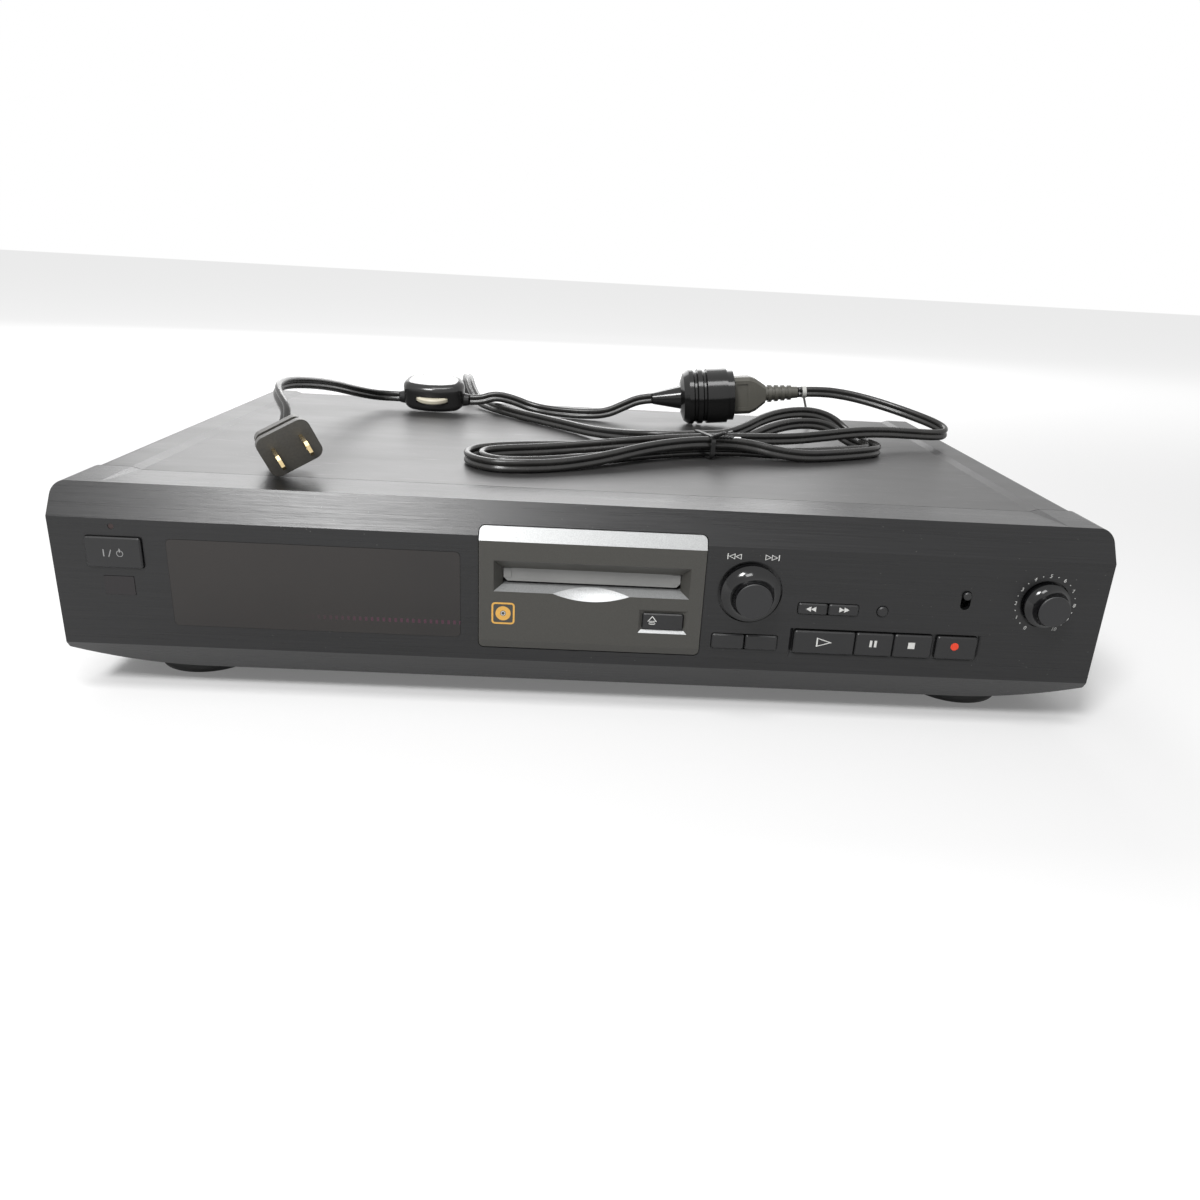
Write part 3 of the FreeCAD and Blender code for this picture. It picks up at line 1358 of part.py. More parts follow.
def spindle_motor():
    low = DECK_PLATE_Z + DECK_PLATE
    can = rod(SLOT_X, SPINDLE_Y, low, SPINDLE_RADIUS, SPINDLE_HEIGHT, (0, 0, 1))
    return can.cut(rod(SLOT_X, SPINDLE_Y, low + 2, SPINDLE_SHAFT + 0.05, SPINDLE_HEIGHT, (0, 0, 1)))


def turntable():
    """The disc table on its shaft, just under the cartridge once that is lowered."""
    motor_top = DECK_PLATE_Z + DECK_PLATE + SPINDLE_HEIGHT
    table_top = HOLDER_Z - CARTRIDGE_HEIGHT / 2 - HOLDER_DROP - 0.5
    pin = rod(SLOT_X, SPINDLE_Y, DECK_PLATE_Z + DECK_PLATE + 2.4, SPINDLE_SHAFT, 8, (0, 0, 1))
    low = motor_top + SEAM
    hub = rod(SLOT_X, SPINDLE_Y, low, 4.0, table_top - TABLE_SHEET - low, (0, 0, 1))
    plate = rod(SLOT_X, SPINDLE_Y, table_top - TABLE_SHEET, TABLE_RADIUS, TABLE_SHEET, (0, 0, 1))
    nose = rod(SLOT_X, SPINDLE_Y, table_top, TABLE_PIN, 1.4, (0, 0, 1))
    return joined([pin, hub, plate, nose])


def guide_rods():
    rods = []
    for side in (-1, 1):
        x = SLOT_X + side * ROD_SPREAD
        rods.append(rod(x, ROD_FRONT, ROD_Z, ROD_RADIUS, ROD_BACK - ROD_FRONT))
    return Part.makeCompound(rods)


def optical_pickup():
    """The sled with its lens, its rack, and the bracket that carries the recording head."""
    top = PICKUP_LOW + PICKUP_HEIGHT
    body = box(SLOT_X - PICKUP_HALF, SLOT_X + PICKUP_HALF, PICKUP_FRONT, PICKUP_BACK, PICKUP_LOW, top)
    lens = rod(SLOT_X, LENS_Y, top, 3.0, 1.6, (0, 0, 1))
    half = ARM_WIDTH / 2
    ear_top = ARM_PIVOT_Z + 2
    near = PICKUP_BACK - RISER_DEPTH
    riser = box(SLOT_X - half - 2, SLOT_X + half + 2, near, PICKUP_BACK, top, ear_top)
    throat = box(SLOT_X - half, SLOT_X + half, near - 1, PICKUP_BACK + 1, ARM_PIVOT_Z - 1.8, ear_top + 1)
    start = SLED_GEAR_Y - 10 * TOOTH_PITCH
    rack_x = SLED_GEAR_X - PITCH_RADIUS
    bar = rack_x - SLOT_X - PICKUP_HALF
    rack = [(rack_x + b, start + a) for a, b in rack_outline(32.0, bar + 1)]
    teeth = prism_z(rack, SLED_GEAR_Z, SLED_GEAR_Z + GEAR_SHEET)
    solid = joined([body, lens, riser.cut(throat), teeth])
    cuts = [rod(SLOT_X - 15, ARM_PIVOT_Y, ARM_PIVOT_Z, ARM_PIN + 0.08, 30, (1, 0, 0))]
    for side in (-1, 1):
        x = SLOT_X + side * ROD_SPREAD
        cuts.append(rod(x, PICKUP_FRONT - 1, ROD_Z, ROD_RADIUS + ROD_FIT, 50))
    return solid.cut(cuts)


def magnetic_head():
    """The recording head's arm, which swings down onto the disc from above."""
    half = ARM_WIDTH / 2 - 0.2
    arm = box(
        SLOT_X - half, SLOT_X + half, LENS_Y - 4, ARM_PIVOT_Y,
        ARM_PIVOT_Z - ARM_SHEET / 2, ARM_PIVOT_Z + ARM_SHEET / 2,
    )
    barrel = rod(SLOT_X - half, ARM_PIVOT_Y, ARM_PIVOT_Z, 1.4, 2 * half, (1, 0, 0))
    pins = rod(SLOT_X - half - 1.9, ARM_PIVOT_Y, ARM_PIVOT_Z, ARM_PIN, 2 * half + 3.8, (1, 0, 0))
    head = rod(SLOT_X, LENS_Y, ARM_PIVOT_Z - ARM_SHEET / 2 - 1.8, 3.0, 1.8, (0, 0, 1))
    return joined([arm, barrel, pins, head])


# Leads

def route(points):
    """A tube's path: straight runs joined by the largest tangent arcs that fit."""
    spots = [Vector(*p) for p in points]
    edges = []
    radii = []
    start = spots[0]
    for before, corner, after in zip(spots, spots[1:], spots[2:]):
        into = (corner - before).normalize()
        out = (after - corner).normalize()
        turn = into.getAngle(out)
        shorter = min((corner - before).Length, (after - corner).Length)
        cut = 0.45 * shorter
        radii.append(cut / math.tan(turn / 2))
        first = corner - into * cut
        last = corner + out * cut
        bulge = (out - into).normalize() * (radii[-1] / math.cos(turn / 2) - radii[-1])
        edges.append(Part.LineSegment(start, first).toShape())
        edges.append(Part.Arc(first, corner + bulge, last).toShape())
        start = last
    edges.append(Part.LineSegment(start, spots[-1]).toShape())
    return Part.Wire(edges), radii


def tube_along(path, name):
    """Sweeps the cord's round section along a path and compares its volume."""
    start = path.Edges[0].valueAt(path.Edges[0].FirstParameter)
    way = path.Edges[0].tangentAt(path.Edges[0].FirstParameter)
    section = Part.Wire(Part.makeCircle(CORD / 2, start, way))
    solid = path.makePipeShell([section], True, False)
    expected = math.pi * CORD ** 2 / 4 * path.Length
    print(f"{name}: length {path.Length:.0f} mm, volume {solid.Volume / expected:.4f} of its due")
    return solid


def lead(name, points):
    path, radii = route(points)
    print(f"{name}: arc radii from {min(radii):.1f} to {max(radii):.1f} mm")
    return tube_along(path, name)


def tilted(shape, centre, axis, degrees):
    turned_shape = shape.copy()
    turned_shape.rotate(Vector(*centre), Vector(*axis), degrees)
    return turned_shape


def inline_switch():
    """A cushion shaped shell with a collar at each end and a pocket for its thumb wheel."""
    x, y, z = SWITCH_CENTRE
    end = SWITCH_LENGTH / 2
    side = SWITCH_BODY_DEPTH / 2
    low = z - SWITCH_BODY_HEIGHT / 2
    corners = []
    middles = []
    for right, back in ((1, -1), (1, 1), (-1, 1), (-1, -1)):
        corner_x = x + right * (end - SWITCH_END_BULGE)
        corner_y = y + back * (side - SWITCH_SIDE_BULGE)
        corners.append(Vector(corner_x, corner_y, low))
    for right, back in ((1, 0), (0, 1), (-1, 0), (0, -1)):
        middles.append(Vector(x + right * end, y + back * side, low))
    arcs = []
    for number in range(4):
        arc = Part.Arc(corners[number], middles[number], corners[(number + 1) % 4])
        arcs.append(arc.toShape())
    body = Part.Face(Part.Wire(arcs)).extrude(Vector(0, 0, SWITCH_BODY_HEIGHT))
    uprights = [edge for edge in body.Edges if edge.BoundBox.ZLength > 1]
    body = body.makeFillet(SWITCH_CORNER, uprights)
    rims = [edge for edge in body.Edges if edge.BoundBox.ZLength < 1e-4]
    body = body.makeFillet(SWITCH_ROUND, rims)
    parts = [body]
    for way in (-1, 1):
        root = Vector(x + way * (end - COLLAR_REACH), y, z - COLLAR_DROP)
        cone = Part.makeCone(SWITCH_COLLAR, COLLAR, 2 * COLLAR_REACH, root, Vector(way, 0, 0))
        parts.append(cone)
    thick = WHEEL_SHEET + 2 * WHEEL_GAP
    pocket = rod(x, WHEEL_Y, z - thick / 2, WHEEL_RADIUS + WHEEL_GAP, thick, (0, 0, 1))
    pin = rod(x, WHEEL_Y, z - thick / 2 - 1, WHEEL_PIN, thick + 2, (0, 0, 1))
    shell = joined([joined(parts).cut(pocket), pin])
    return tilted(shell, SWITCH_CENTRE, (1, 0, 0), SWITCH_TILT)


def switch_wheel():
    x = SWITCH_X
    z = SWITCH_Z
    wheel = rod(x, WHEEL_Y, z - WHEEL_SHEET / 2, WHEEL_RADIUS, WHEEL_SHEET, (0, 0, 1))
    rims = [edge for edge in wheel.Edges if edge.Length > WHEEL_SHEET + 1]
    wheel = wheel.makeChamfer(WHEEL_CHAMFER, rims)
    wheel = wheel.cut(rod(x, WHEEL_Y, z - WHEEL_SHEET, WHEEL_PIN + 0.06, 2 * WHEEL_SHEET, (0, 0, 1)))
    return tilted(wheel, SWITCH_CENTRE, (1, 0, 0), SWITCH_TILT)


def turned_along_x(profile):
    """Turns (distance, radius) points about the socket's level axis, then tilts it."""
    x, y, z = SOCKET_PLACE
    face = Part.Face(wire_of([(x + a, y, z + r) for a, r in profile]))
    solid = face.revolve(Vector(x, y, z), Vector(1, 0, 0), 360)
    return tilted(solid, SOCKET_PLACE, (0, 1, 0), -SOCKET_TILT)


def on_socket_axis(distance):
    return (
        SOCKET_X + distance * SOCKET_COS,
        SOCKET_Y,
        SOCKET_Z + distance * SOCKET_SIN,
    )


def lead_socket():
    """The round cord socket, with a tapered neck, two grooves and a stepped rim."""
    r = SOCKET_RADIUS
    rim = SOCKET_LENGTH - RIM_LENGTH
    profile = [(-SOCKET_NUB, 0), (-SOCKET_NUB, COLLAR), (0, NUB_ROOT), (0, SOCKET_NECK)]
    profile += [(0.35 * SOCKET_DOME, r - 2.2), (SOCKET_DOME, r)]
    for start in (SOCKET_DOME + 2.5, SOCKET_DOME + 8.0):
        profile += [(start, r), (start + 0.8, r - RIB_DEPTH), (start + 2.0, r - RIB_DEPTH)]
        profile += [(start + 2.8, r)]
    profile += [(rim, r), (rim, r - RIM_STEP), (SOCKET_LENGTH, r - RIM_STEP), (SOCKET_LENGTH, 0)]
    return turned_along_x(profile)


def flat_section(distance, height, depth, corner):
    """An upright outline of the flat plug with cut corners."""
    x = SOCKET_X + distance
    points = []
    for back, up in ((-1, -1), (1, -1), (1, 1), (-1, 1)):
        wide = (x, SOCKET_Y + back * (depth / 2 - corner), SOCKET_Z + up * height / 2)
        tall = (x, SOCKET_Y + back * depth / 2, SOCKET_Z + up * (height / 2 - corner))
        points += [tall, wide] if back * up > 0 else [wide, tall]
    return wire_of(points)


def flat_plug():
    """A flat plug with a panel let into each side, and its ribbed strain relief."""
    start = SOCKET_LENGTH
    end = start + FLAT_PLUG_LENGTH
    high = FLAT_PLUG_WIDTH
    deep = FLAT_PLUG_HEIGHT
    relief = 2 * RELIEF_RADIUS
    sections = [
        flat_section(start, high, deep, FLAT_PLUG_CORNER),
        flat_section(start + 0.5 * FLAT_PLUG_LENGTH, high, deep, FLAT_PLUG_CORNER),
        flat_section(start + 0.7 * FLAT_PLUG_LENGTH, 0.86 * high, 0.92 * deep, FLAT_PLUG_CORNER),
        flat_section(end, relief, 0.94 * relief, FLAT_PLUG_CORNER),
    ]
    parts = [Part.makeLoft(sections, True, True)]
    root = Vector(SOCKET_X + end - 0.5, SOCKET_Y, SOCKET_Z)
    narrow = RELIEF_RADIUS - 0.8
    parts.append(Part.makeCone(narrow, COLLAR, RELIEF_LENGTH + 0.5, root, Vector(1, 0, 0)))
    for number in range(RELIEF_RIBS):
        place = end + 2 + number * (RELIEF_LENGTH - 4) / RELIEF_RIBS
        radius = RELIEF_RADIUS - 0.25 * number
        parts.append(rod(SOCKET_X + place, SOCKET_Y, SOCKET_Z, radius, RIB_WIDTH, (1, 0, 0)))
    insets = []
    for side in (-1, 1):
        face = SOCKET_Y + side * deep / 2
        insets.append(box(
            SOCKET_X + start + 2.5, SOCKET_X + start + 9, face - PANEL_INSET, face + PANEL_INSET,
            SOCKET_Z - high / 2 + 4, SOCKET_Z + high / 2 - 4,
        ))
    return tilted(joined(parts).cut(insets), SOCKET_PLACE, (0, 1, 0), -SOCKET_TILT)


def plug_tilted(shape):
    rolled = tilted(shape, END_PLUG, (0, 1, 0), -END_PLUG_ROLL)
    return tilted(rolled, END_PLUG, (0, 0, 1), END_PLUG_YAW)


def plug_plate(start, end, inset):
    """One rounded block of the end plug, between two depths."""
    x, y, z = END_PLUG
    half = END_PLUG_WIDTH / 2 - inset
    rise = END_PLUG_HEIGHT / 2 - inset
    corner = END_PLUG_CORNER - 0.5 * inset
    return rounded_box(x - half, x + half, y + start, y + end, z - rise, z + rise, corner)


def end_plug():
    """A two blade plug: face plate, narrow waist for the fingers, back plate and collar."""
    x, y, z = END_PLUG
    parts = [
        plug_plate(0, END_PLUG_FACE, 0),
        plug_plate(END_PLUG_FACE, END_PLUG_WAIST, WAIST_INSET),
        plug_plate(END_PLUG_WAIST, END_PLUG_BODY, BACK_INSET),
        rod(x, y + END_PLUG_BODY - 1, z, COLLAR, COLLAR_REACH + 1),
    ]
    wide = BLADE_WIDTH / 2
    outline = [
        (y + 0.5, z - wide),
        (y + 0.5, z + wide),
        (y + BLADE_TAPER - BLADE_LENGTH, z + wide),
        (y - BLADE_LENGTH, z + wide - BLADE_TAPER),
        (y - BLADE_LENGTH, z - wide + BLADE_TAPER),
        (y + BLADE_TAPER - BLADE_LENGTH, z - wide),
    ]
    for side in (-1, 1):
        left = x + side * BLADE_SPACING / 2 - BLADE_SHEET / 2
        hole = rod(left - 1, y - BLADE_HOLE_PLACE, z, BLADE_HOLE, BLADE_SHEET + 2, (1, 0, 0))
        parts.append(prism_x(outline, left, left + BLADE_SHEET).cut(hole))
    return plug_tilted(joined(parts))


def end_plug_exit(distance):
    """A point on the cord's axis, measured back from the end plug's collar."""
    x, y, z = END_PLUG
    return tuple(plug_tilted(Part.Vertex(x, y + END_PLUG_BODY + COLLAR_REACH + distance, z)).Point)


# Hank of the captive lead

def hank_station(number):
    """One of eight stations in each turn: along the hank, across it, and its height."""
    turn = number / 8
    shrink = HANK_PITCH * turn
    place = number % 8
    if place in (0, 4):
        across = WAIST_HALF - WAIST_PITCH * turn
        high = WAIST_RISE if int(turn) % 2 == 0 else 0.0
        return 0.0, (across if place == 0 else -across), CORD_Z + WAIST_LIFT + high
    if place == 1:
        return HANK_BACK[0], HANK_BACK[1] - shrink, CORD_Z + HANK_LIFTS[int(turn)]
    if place == 2:
        return HANK_RIGHT - shrink, 0.0, CORD_Z
    if place == 3:
        return HANK_FRONT[0], shrink - HANK_FRONT[1], CORD_Z
    if place == 6:
        return shrink - HANK_LEFT, 0.0, CORD_Z
    half = HANK_LEFT_HALF - shrink
    return HANK_LEFT_HALF - HANK_LEFT, (-half if place == 5 else half), CORD_Z


def hank_tangent(number):
    """The direction of travel at a station, in the hank's own axes."""
    place = number % 8
    if place == 2:
        return (0.0, -1.0, 0.0)
    if place == 6:
        return (0.0, 1.0, 0.0)
    return (1.0, 0.0, 0.0) if place in (0, 1, 7) else (-1.0, 0.0, 0.0)


def hank_place(along, across, height):
    angle = math.radians(HANK_ANGLE)
    return Vector(
        HANK_X + along * math.cos(angle) - across * math.sin(angle),
        HANK_Y + along * math.sin(angle) + across * math.cos(angle),
        height,
    )


def biarc(start, start_way, end, end_way):
    """Two arcs that leave start and reach end along the given directions."""
    chord = end - start
    both = start_way + end_way
    spread = 2 * (1 - start_way.dot(end_way))
    along = chord.dot(both)
    if spread < 1e-9:
        reach = chord.dot(chord) / (4 * chord.dot(end_way))
    else:
        reach = (math.sqrt(along ** 2 + spread * chord.dot(chord)) - along) / spread
    first = start + start_way * reach
    second = end - end_way * reach
    middle = (first + second) * 0.5
    arcs = []
    for a, corner, b in ((start, first, middle), (middle, second, end)):
        base = (a + b) * 0.5
        height = (corner - base).Length
        half_chord = (b - a).Length / 2
        if height < 1e-6:
            arcs.append(Part.LineSegment(a, b).toShape())
            continue
        half_turn = math.atan2(height, half_chord)
        sagitta = half_chord * math.tan(half_turn / 2)
        arcs.append(Part.Arc(a, base + (corner - base).normalize() * sagitta, b).toShape())
    return arcs


def hank_path():
    """The hank's path, with the places and directions of its two ends."""
    last = 8 * HANK_TURNS
    origin = hank_place(0, 0, 0)
    spots = [hank_place(*hank_station(n)) for n in range(last + 1)]
    ways = []
    for number in range(last + 1):
        along, across, up = hank_tangent(number)
        ways.append((hank_place(along, across, up) - origin).normalize())
    edges = []
    for number in range(last):
        edges += biarc(spots[number], ways[number], spots[number + 1], ways[number + 1])
    return Part.Wire(edges), ((spots[0], ways[0]), (spots[-1], ways[-1]))


def least_gap(path, thickness):
    """The least distance between turns of a tube, over points that are not neighbours."""
    points = path.discretize(Distance=3.0)
    skip = int(6 * thickness / 3.0)
    best = 1e9
    for number, point in enumerate(points):
        for other in points[number + skip:]:
            best = min(best, point.distanceToPoint(other))
    return best - thickness


def cord_hank():
    path = hank_path()[0]
    solid = tube_along(path, "cord_hank")
    print(f"cord_hank: least gap to itself {least_gap(path, CORD):.2f} mm")
    return solid


def tail(start, end):
    """A loose end of a wire tie."""
    way = Vector(*end) - Vector(*start)
    return Part.makeCylinder(TAIL_RADIUS, way.Length, Vector(*start), way)


def cord_ties():
    """A twist tie round the hank's waist and another round the lead behind the plug."""
    reach = WAIST_HALF + CORD / 2 + TIE_PLAY
    near = WAIST_HALF - WAIST_PITCH / 2 + CORD / 2 + TIE_PLAY
    low = CORD_Z + WAIST_LIFT - CORD / 2 - TIE_PLAY
    high = CORD_Z + WAIST_LIFT + WAIST_RISE + CORD / 2 + TIE_PLAY
    sheet = TIE_SHEET
    outer = rounded_box(-near - sheet, reach + sheet, 0, TIE_WIDTH, low - sheet, high + sheet, 3.0)
    inner = rounded_box(-near, reach, -1, TIE_WIDTH + 1, low, high, 2.0)
    band = outer.cut(inner)
    band.translate(Vector(0, -TIE_WIDTH / 2, 0))
    band.rotate(Vector(0, 0, 0), Vector(0, 0, 1), 90 + HANK_ANGLE)
    band.translate(Vector(HANK_X, HANK_Y, 0))
    knot = tuple(hank_place(0, 1 - near, high + sheet / 2))
    ends = [tuple(hank_place(*spot)) for spot in ((3, -near - 7, high + 4), (9, -near - 5, high + 1))]
    band = joined([band] + [tail(knot, end) for end in ends])
    start = Vector(*on_socket_axis(RELIEF_END + 3))
    way = Vector(SOCKET_COS, 0, SOCKET_SIN)
    radius = CORD / 2 + TIE_PLAY
    ring = Part.makeCylinder(radius + sheet, TIE_WIDTH, start, way)
    hole = Part.makeCylinder(radius, TIE_WIDTH + 2, start - way, way)
    back = (start.x + TIE_WIDTH / 2, start.y + radius + sheet / 2, start.z)
    rest = (*TAIL_END, LID_TOP + CORD_REST + TAIL_RADIUS)
    return Part.makeCompound([band, joined([ring.cut(hole), tail(back, rest)])])


def lead_routes():
    """The free stretches, point by point, from each piece to the next."""
    (first, first_way), (last, last_way) = hank_path()[1]
    bushing_end = REAR_FACE + BUSHING_LENGTH
    return {
        "deck_cord": [
            (BUSHING_X, bushing_end, BUSHING_Z),
            (BUSHING_X, bushing_end + 13, BUSHING_Z),
            (BUSHING_X + 0.5, bushing_end + 25, BUSHING_Z + 6.5),
            (BUSHING_X + 1, bushing_end + 32, BUSHING_Z + 19.5),
            (BUSHING_X + 2, bushing_end + 33.5, BUSHING_Z + 34.5),
            (BUSHING_X + 3, bushing_end + 29, BUSHING_Z + 49.5),
            (BUSHING_X + 5, bushing_end + 19, BUSHING_Z + 62.5),
            (BUSHING_X + 7.5, bushing_end + 4, BUSHING_Z + 70.5),
            (-84.5, 274, 103),
            (-80.5, 259.5, 97.5),
            (-75, 247, 92.6),
            (-68, 234, CORD_Z),
            (-58, 219.5, CORD_Z),
            (-46, 205, CORD_Z),
            (-32, 191, CORD_Z),
            (-17, 176, CORD_Z + 0.3),
            (-4, 160.5, CORD_Z + 1),
            (6, 147, CORD_Z + 2.4),
            (15, 135.5, CORD_Z + 4),
            (26, 127, CORD_Z + 5.4),
            tuple(first - first_way * 14),
            tuple(first),
        ],
        "plug_cord": [
            tuple(last),
            tuple(last + last_way * 14),
            tuple(hank_place(33, 0.6, CORD_Z + 5.4)),
            tuple(hank_place(53, -0.6, CORD_Z + 5.2)),
            tuple(hank_place(74, -1.0, CORD_Z + 6.4)),
            tuple(hank_place(95, -0.4, CORD_Z + 7.8)),
            tuple(hank_place(115, 0.6, CORD_Z + 7.4)),
            tuple(hank_place(132, 0.8, CORD_Z + 6.2)),
            (195, 174.2, 97.0),
            (202.6, 176.4, 97.4),
            (205, 182, 98.7),
            (202, 189.5, 100.7),
            (194.5, 197.5, 103.0),
            (183.5, 206, 105.8),
            (170, 213, 108.9),
            (154.5, 218, 111.6),
            on_socket_axis(RELIEF_END + 14),
            on_socket_axis(RELIEF_END),
        ],
        "lead_cord": [
            (SWITCH_X + SWITCH_END, SWITCH_EXIT_Y, SWITCH_EXIT_Z),
            (SWITCH_X + SWITCH_END + 7, SWITCH_EXIT_Y, SWITCH_EXIT_Z),
            (-62.2, 225.3, 99.4),
            (-51, 225.8, 97.4),
            (-39, 225, 93.2),
            (-24, 220.5, CORD_Z),
            (-7, 216.8, CORD_Z),
            (7, 217, 93.2),
            (18, 218.6, 98.4),
            on_socket_axis(-SOCKET_NUB - 8),
            on_socket_axis(-SOCKET_NUB),
        ],
        "end_cord": [
            end_plug_exit(0),
            end_plug_exit(4.5),
            (-141.8, 66.5, 103.2),
            (-141.8, 71.0, 107.0),
            (-143.0, 77.0, 110.6),
            (-147.5, 84.5, 113.4),
            (-152.3, 94, 115.8),
            (-154.8, 106, 116.8),
            (-154.0, 120, 116.4),
            (-151.0, 138, 114.2),
            (-148.8, 158, 111.0),
            (-146.5, 178, 107.2),
            (-143.2, 196, 102.9),
            (-138.8, 209, 99.6),
            (-133.5, 219.3, 97.1),
            (SWITCH_X - SWITCH_END - 7, SWITCH_EXIT_Y, SWITCH_EXIT_Z),
            (SWITCH_X - SWITCH_END, SWITCH_EXIT_Y, SWITCH_EXIT_Z),
        ],
    }


def build_all():
    save("front_panel", front_panel())
    save("display_window", insert(WINDOW_LEFT, WINDOW_WIDTH, WINDOW_LOW, WINDOW_HEIGHT, WINDOW_CORNER, 0.1))
    save("remote_window", insert(REMOTE_LEFT, REMOTE_WIDTH, REMOTE_LOW, REMOTE_HEIGHT, 0.5, 0.2))
    save("standby_lamp", rod(LAMP_X, 0.2, LAMP_Z, LAMP_RADIUS, BOARD_FACE - 0.2))
    save("slot_bezel", slot_bezel())
    save("slot_lid", slot_lid())
    save("power_button", key(POWER_BOX, POWER_PROUD, PANEL_WALL))
    save("eject_button", key(EJECT_BOX, EJECT_PROUD - 0.3, BEZEL_WALL - BEZEL_PROUD, -0.3))
    for name, area in KEYS.items():
        save(name, key(area, KEY_PROUD, PANEL_WALL))
    save("display_button", display_button())
    save("jog_knob", knob(JOG_X, JOG_Z, JOG_RADIUS, JOG_CAP, KNOB_REACH, -5.2, -2.4))
    save("jog_shaft", shaft(JOG_X, JOG_Z))
    save("jog_encoder", jog_encoder())
    save("level_knob", knob(LEVEL_X, LEVEL_Z, LEVEL_RADIUS, LEVEL_CAP, LEVEL_REACH, -4.6, -2.4))
    save("level_shaft", shaft(LEVEL_X, LEVEL_Z))
    save("level_control", level_control())
    save("input_lever", input_lever())
    save("input_switch", input_switch())
    save("tact_switches", tact_switches())
    save("front_boards", Part.makeCompound([display_board(), key_board()]))
    save("display_tube", display_tube())
    save("top_cover", top_cover())
    save("case_screws", case_screws())
    save("chassis", chassis())
    save("rear_panel", rear_panel())
    save("feet", feet())
    save("line_jacks", line_jacks())
    save("optical_sockets", optical_sockets())
    save("cord_bushing", cord_bushing())
    save("mains_transformer", mains_transformer())
    save("main_board", main_board())
    save("mechanism_base", mechanism_base())
    save("disc_holder", disc_holder())
    save("loading_slider", loading_slider())
    save("loading_gear", loading_gear())
    save("drive_motors", drive_motors())
    save("spindle_motor", spindle_motor())
    save("turntable", turntable())
    save("guide_rods", guide_rods())
    save("optical_pickup", optical_pickup())
    save("magnetic_head", magnetic_head())
    save("sled_gear", sled_gear())
    save("inline_switch", inline_switch())
    save("switch_wheel", switch_wheel())
    save("lead_socket", lead_socket())
    save("flat_plug", flat_plug())
    save("end_plug", end_plug())
    save("cord_hank", cord_hank())
    save("cord_ties", cord_ties())
    for name, points in lead_routes().items():
        save(name, lead(name, points))


build_all()
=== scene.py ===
"""Looks of a full-width minidisc deck with its leads bundled on the cover. Metres, +Z up."""

import math

import bpy
from mathutils import Matrix, Vector


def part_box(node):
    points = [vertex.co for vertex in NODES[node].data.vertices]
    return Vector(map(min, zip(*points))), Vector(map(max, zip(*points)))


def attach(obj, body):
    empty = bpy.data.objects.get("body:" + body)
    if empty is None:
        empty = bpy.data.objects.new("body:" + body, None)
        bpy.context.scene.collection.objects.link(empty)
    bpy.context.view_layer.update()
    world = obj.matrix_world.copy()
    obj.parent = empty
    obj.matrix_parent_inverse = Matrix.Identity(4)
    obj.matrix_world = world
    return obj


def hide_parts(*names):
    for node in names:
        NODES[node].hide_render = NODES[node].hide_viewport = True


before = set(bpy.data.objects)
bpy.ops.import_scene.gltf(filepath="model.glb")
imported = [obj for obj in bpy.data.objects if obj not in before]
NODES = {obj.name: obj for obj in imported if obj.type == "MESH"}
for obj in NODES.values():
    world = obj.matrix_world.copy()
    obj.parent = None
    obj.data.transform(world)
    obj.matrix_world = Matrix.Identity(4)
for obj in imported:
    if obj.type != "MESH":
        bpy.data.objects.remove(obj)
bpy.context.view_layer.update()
MM = 0.001

# Places are given in millimetres, with y measured back from the panel's flat front face
FRONT_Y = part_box("front_panel")[0][1] / MM
COVER_TOP = 88.8
CHASSIS_MIDDLE = 11.6
CHASSIS_FRONT = 37.0
COLLAR_ROOT = 262.5
COLLAR_FACE = 264.75
JACK_MIDDLE = 43.0
COVER_DEPTH = 262
TIE_PARTING = 110.0


def at(x, y, z):
    """A point of the deck in metres, from millimetres behind the front face."""
    return Vector((x * MM, (y + FRONT_Y) * MM, z * MM))


# Camera, light and floor

CAMERA_PLACE = (-2.522, -355.16, 185.512)
CAMERA_TURN = (-0.358, -0.056, -0.036)
PHOTO_SIZE = 1200
FOCAL_PIXELS = 923.31
OPTICAL_CENTRE = (613.707, 599.381)
SENSOR = 36.0


def camera():
    pitch, roll, yaw = CAMERA_TURN
    turn = Matrix.Rotation(yaw, 3, "Z") @ Matrix.Rotation(pitch, 3, "X")
    turn = turn @ Matrix.Rotation(roll, 3, "Y")
    right, forward, up = turn.transposed()
    data = bpy.data.cameras.new("photo_camera")
    data.sensor_width = SENSOR
    data.lens = FOCAL_PIXELS / PHOTO_SIZE * SENSOR
    data.shift_x = -(OPTICAL_CENTRE[0] - PHOTO_SIZE / 2) / PHOTO_SIZE
    data.shift_y = (OPTICAL_CENTRE[1] - PHOTO_SIZE / 2) / PHOTO_SIZE
    data.clip_start = 0.01
    view = bpy.data.objects.new("photo_camera", data)
    basis = Matrix((right, up, -forward)).transposed().to_4x4()
    view.matrix_world = Matrix.Translation(at(*CAMERA_PLACE)) @ basis
    bpy.context.scene.collection.objects.link(view)
    bpy.context.scene.camera = view


def area_light(name, place, aim, size, power):
    data = bpy.data.lights.new(name, "AREA")
    data.shape = "RECTANGLE"
    data.size, data.size_y = size
    data.energy = power
    light = bpy.data.objects.new(name, data)
    light.visible_camera = False
    turn = (Vector(aim) - Vector(place)).to_track_quat("-Z", "Y")
    light.matrix_world = Matrix.Translation(place) @ turn.to_matrix().to_4x4()
    bpy.context.scene.collection.objects.link(light)


# Shaders

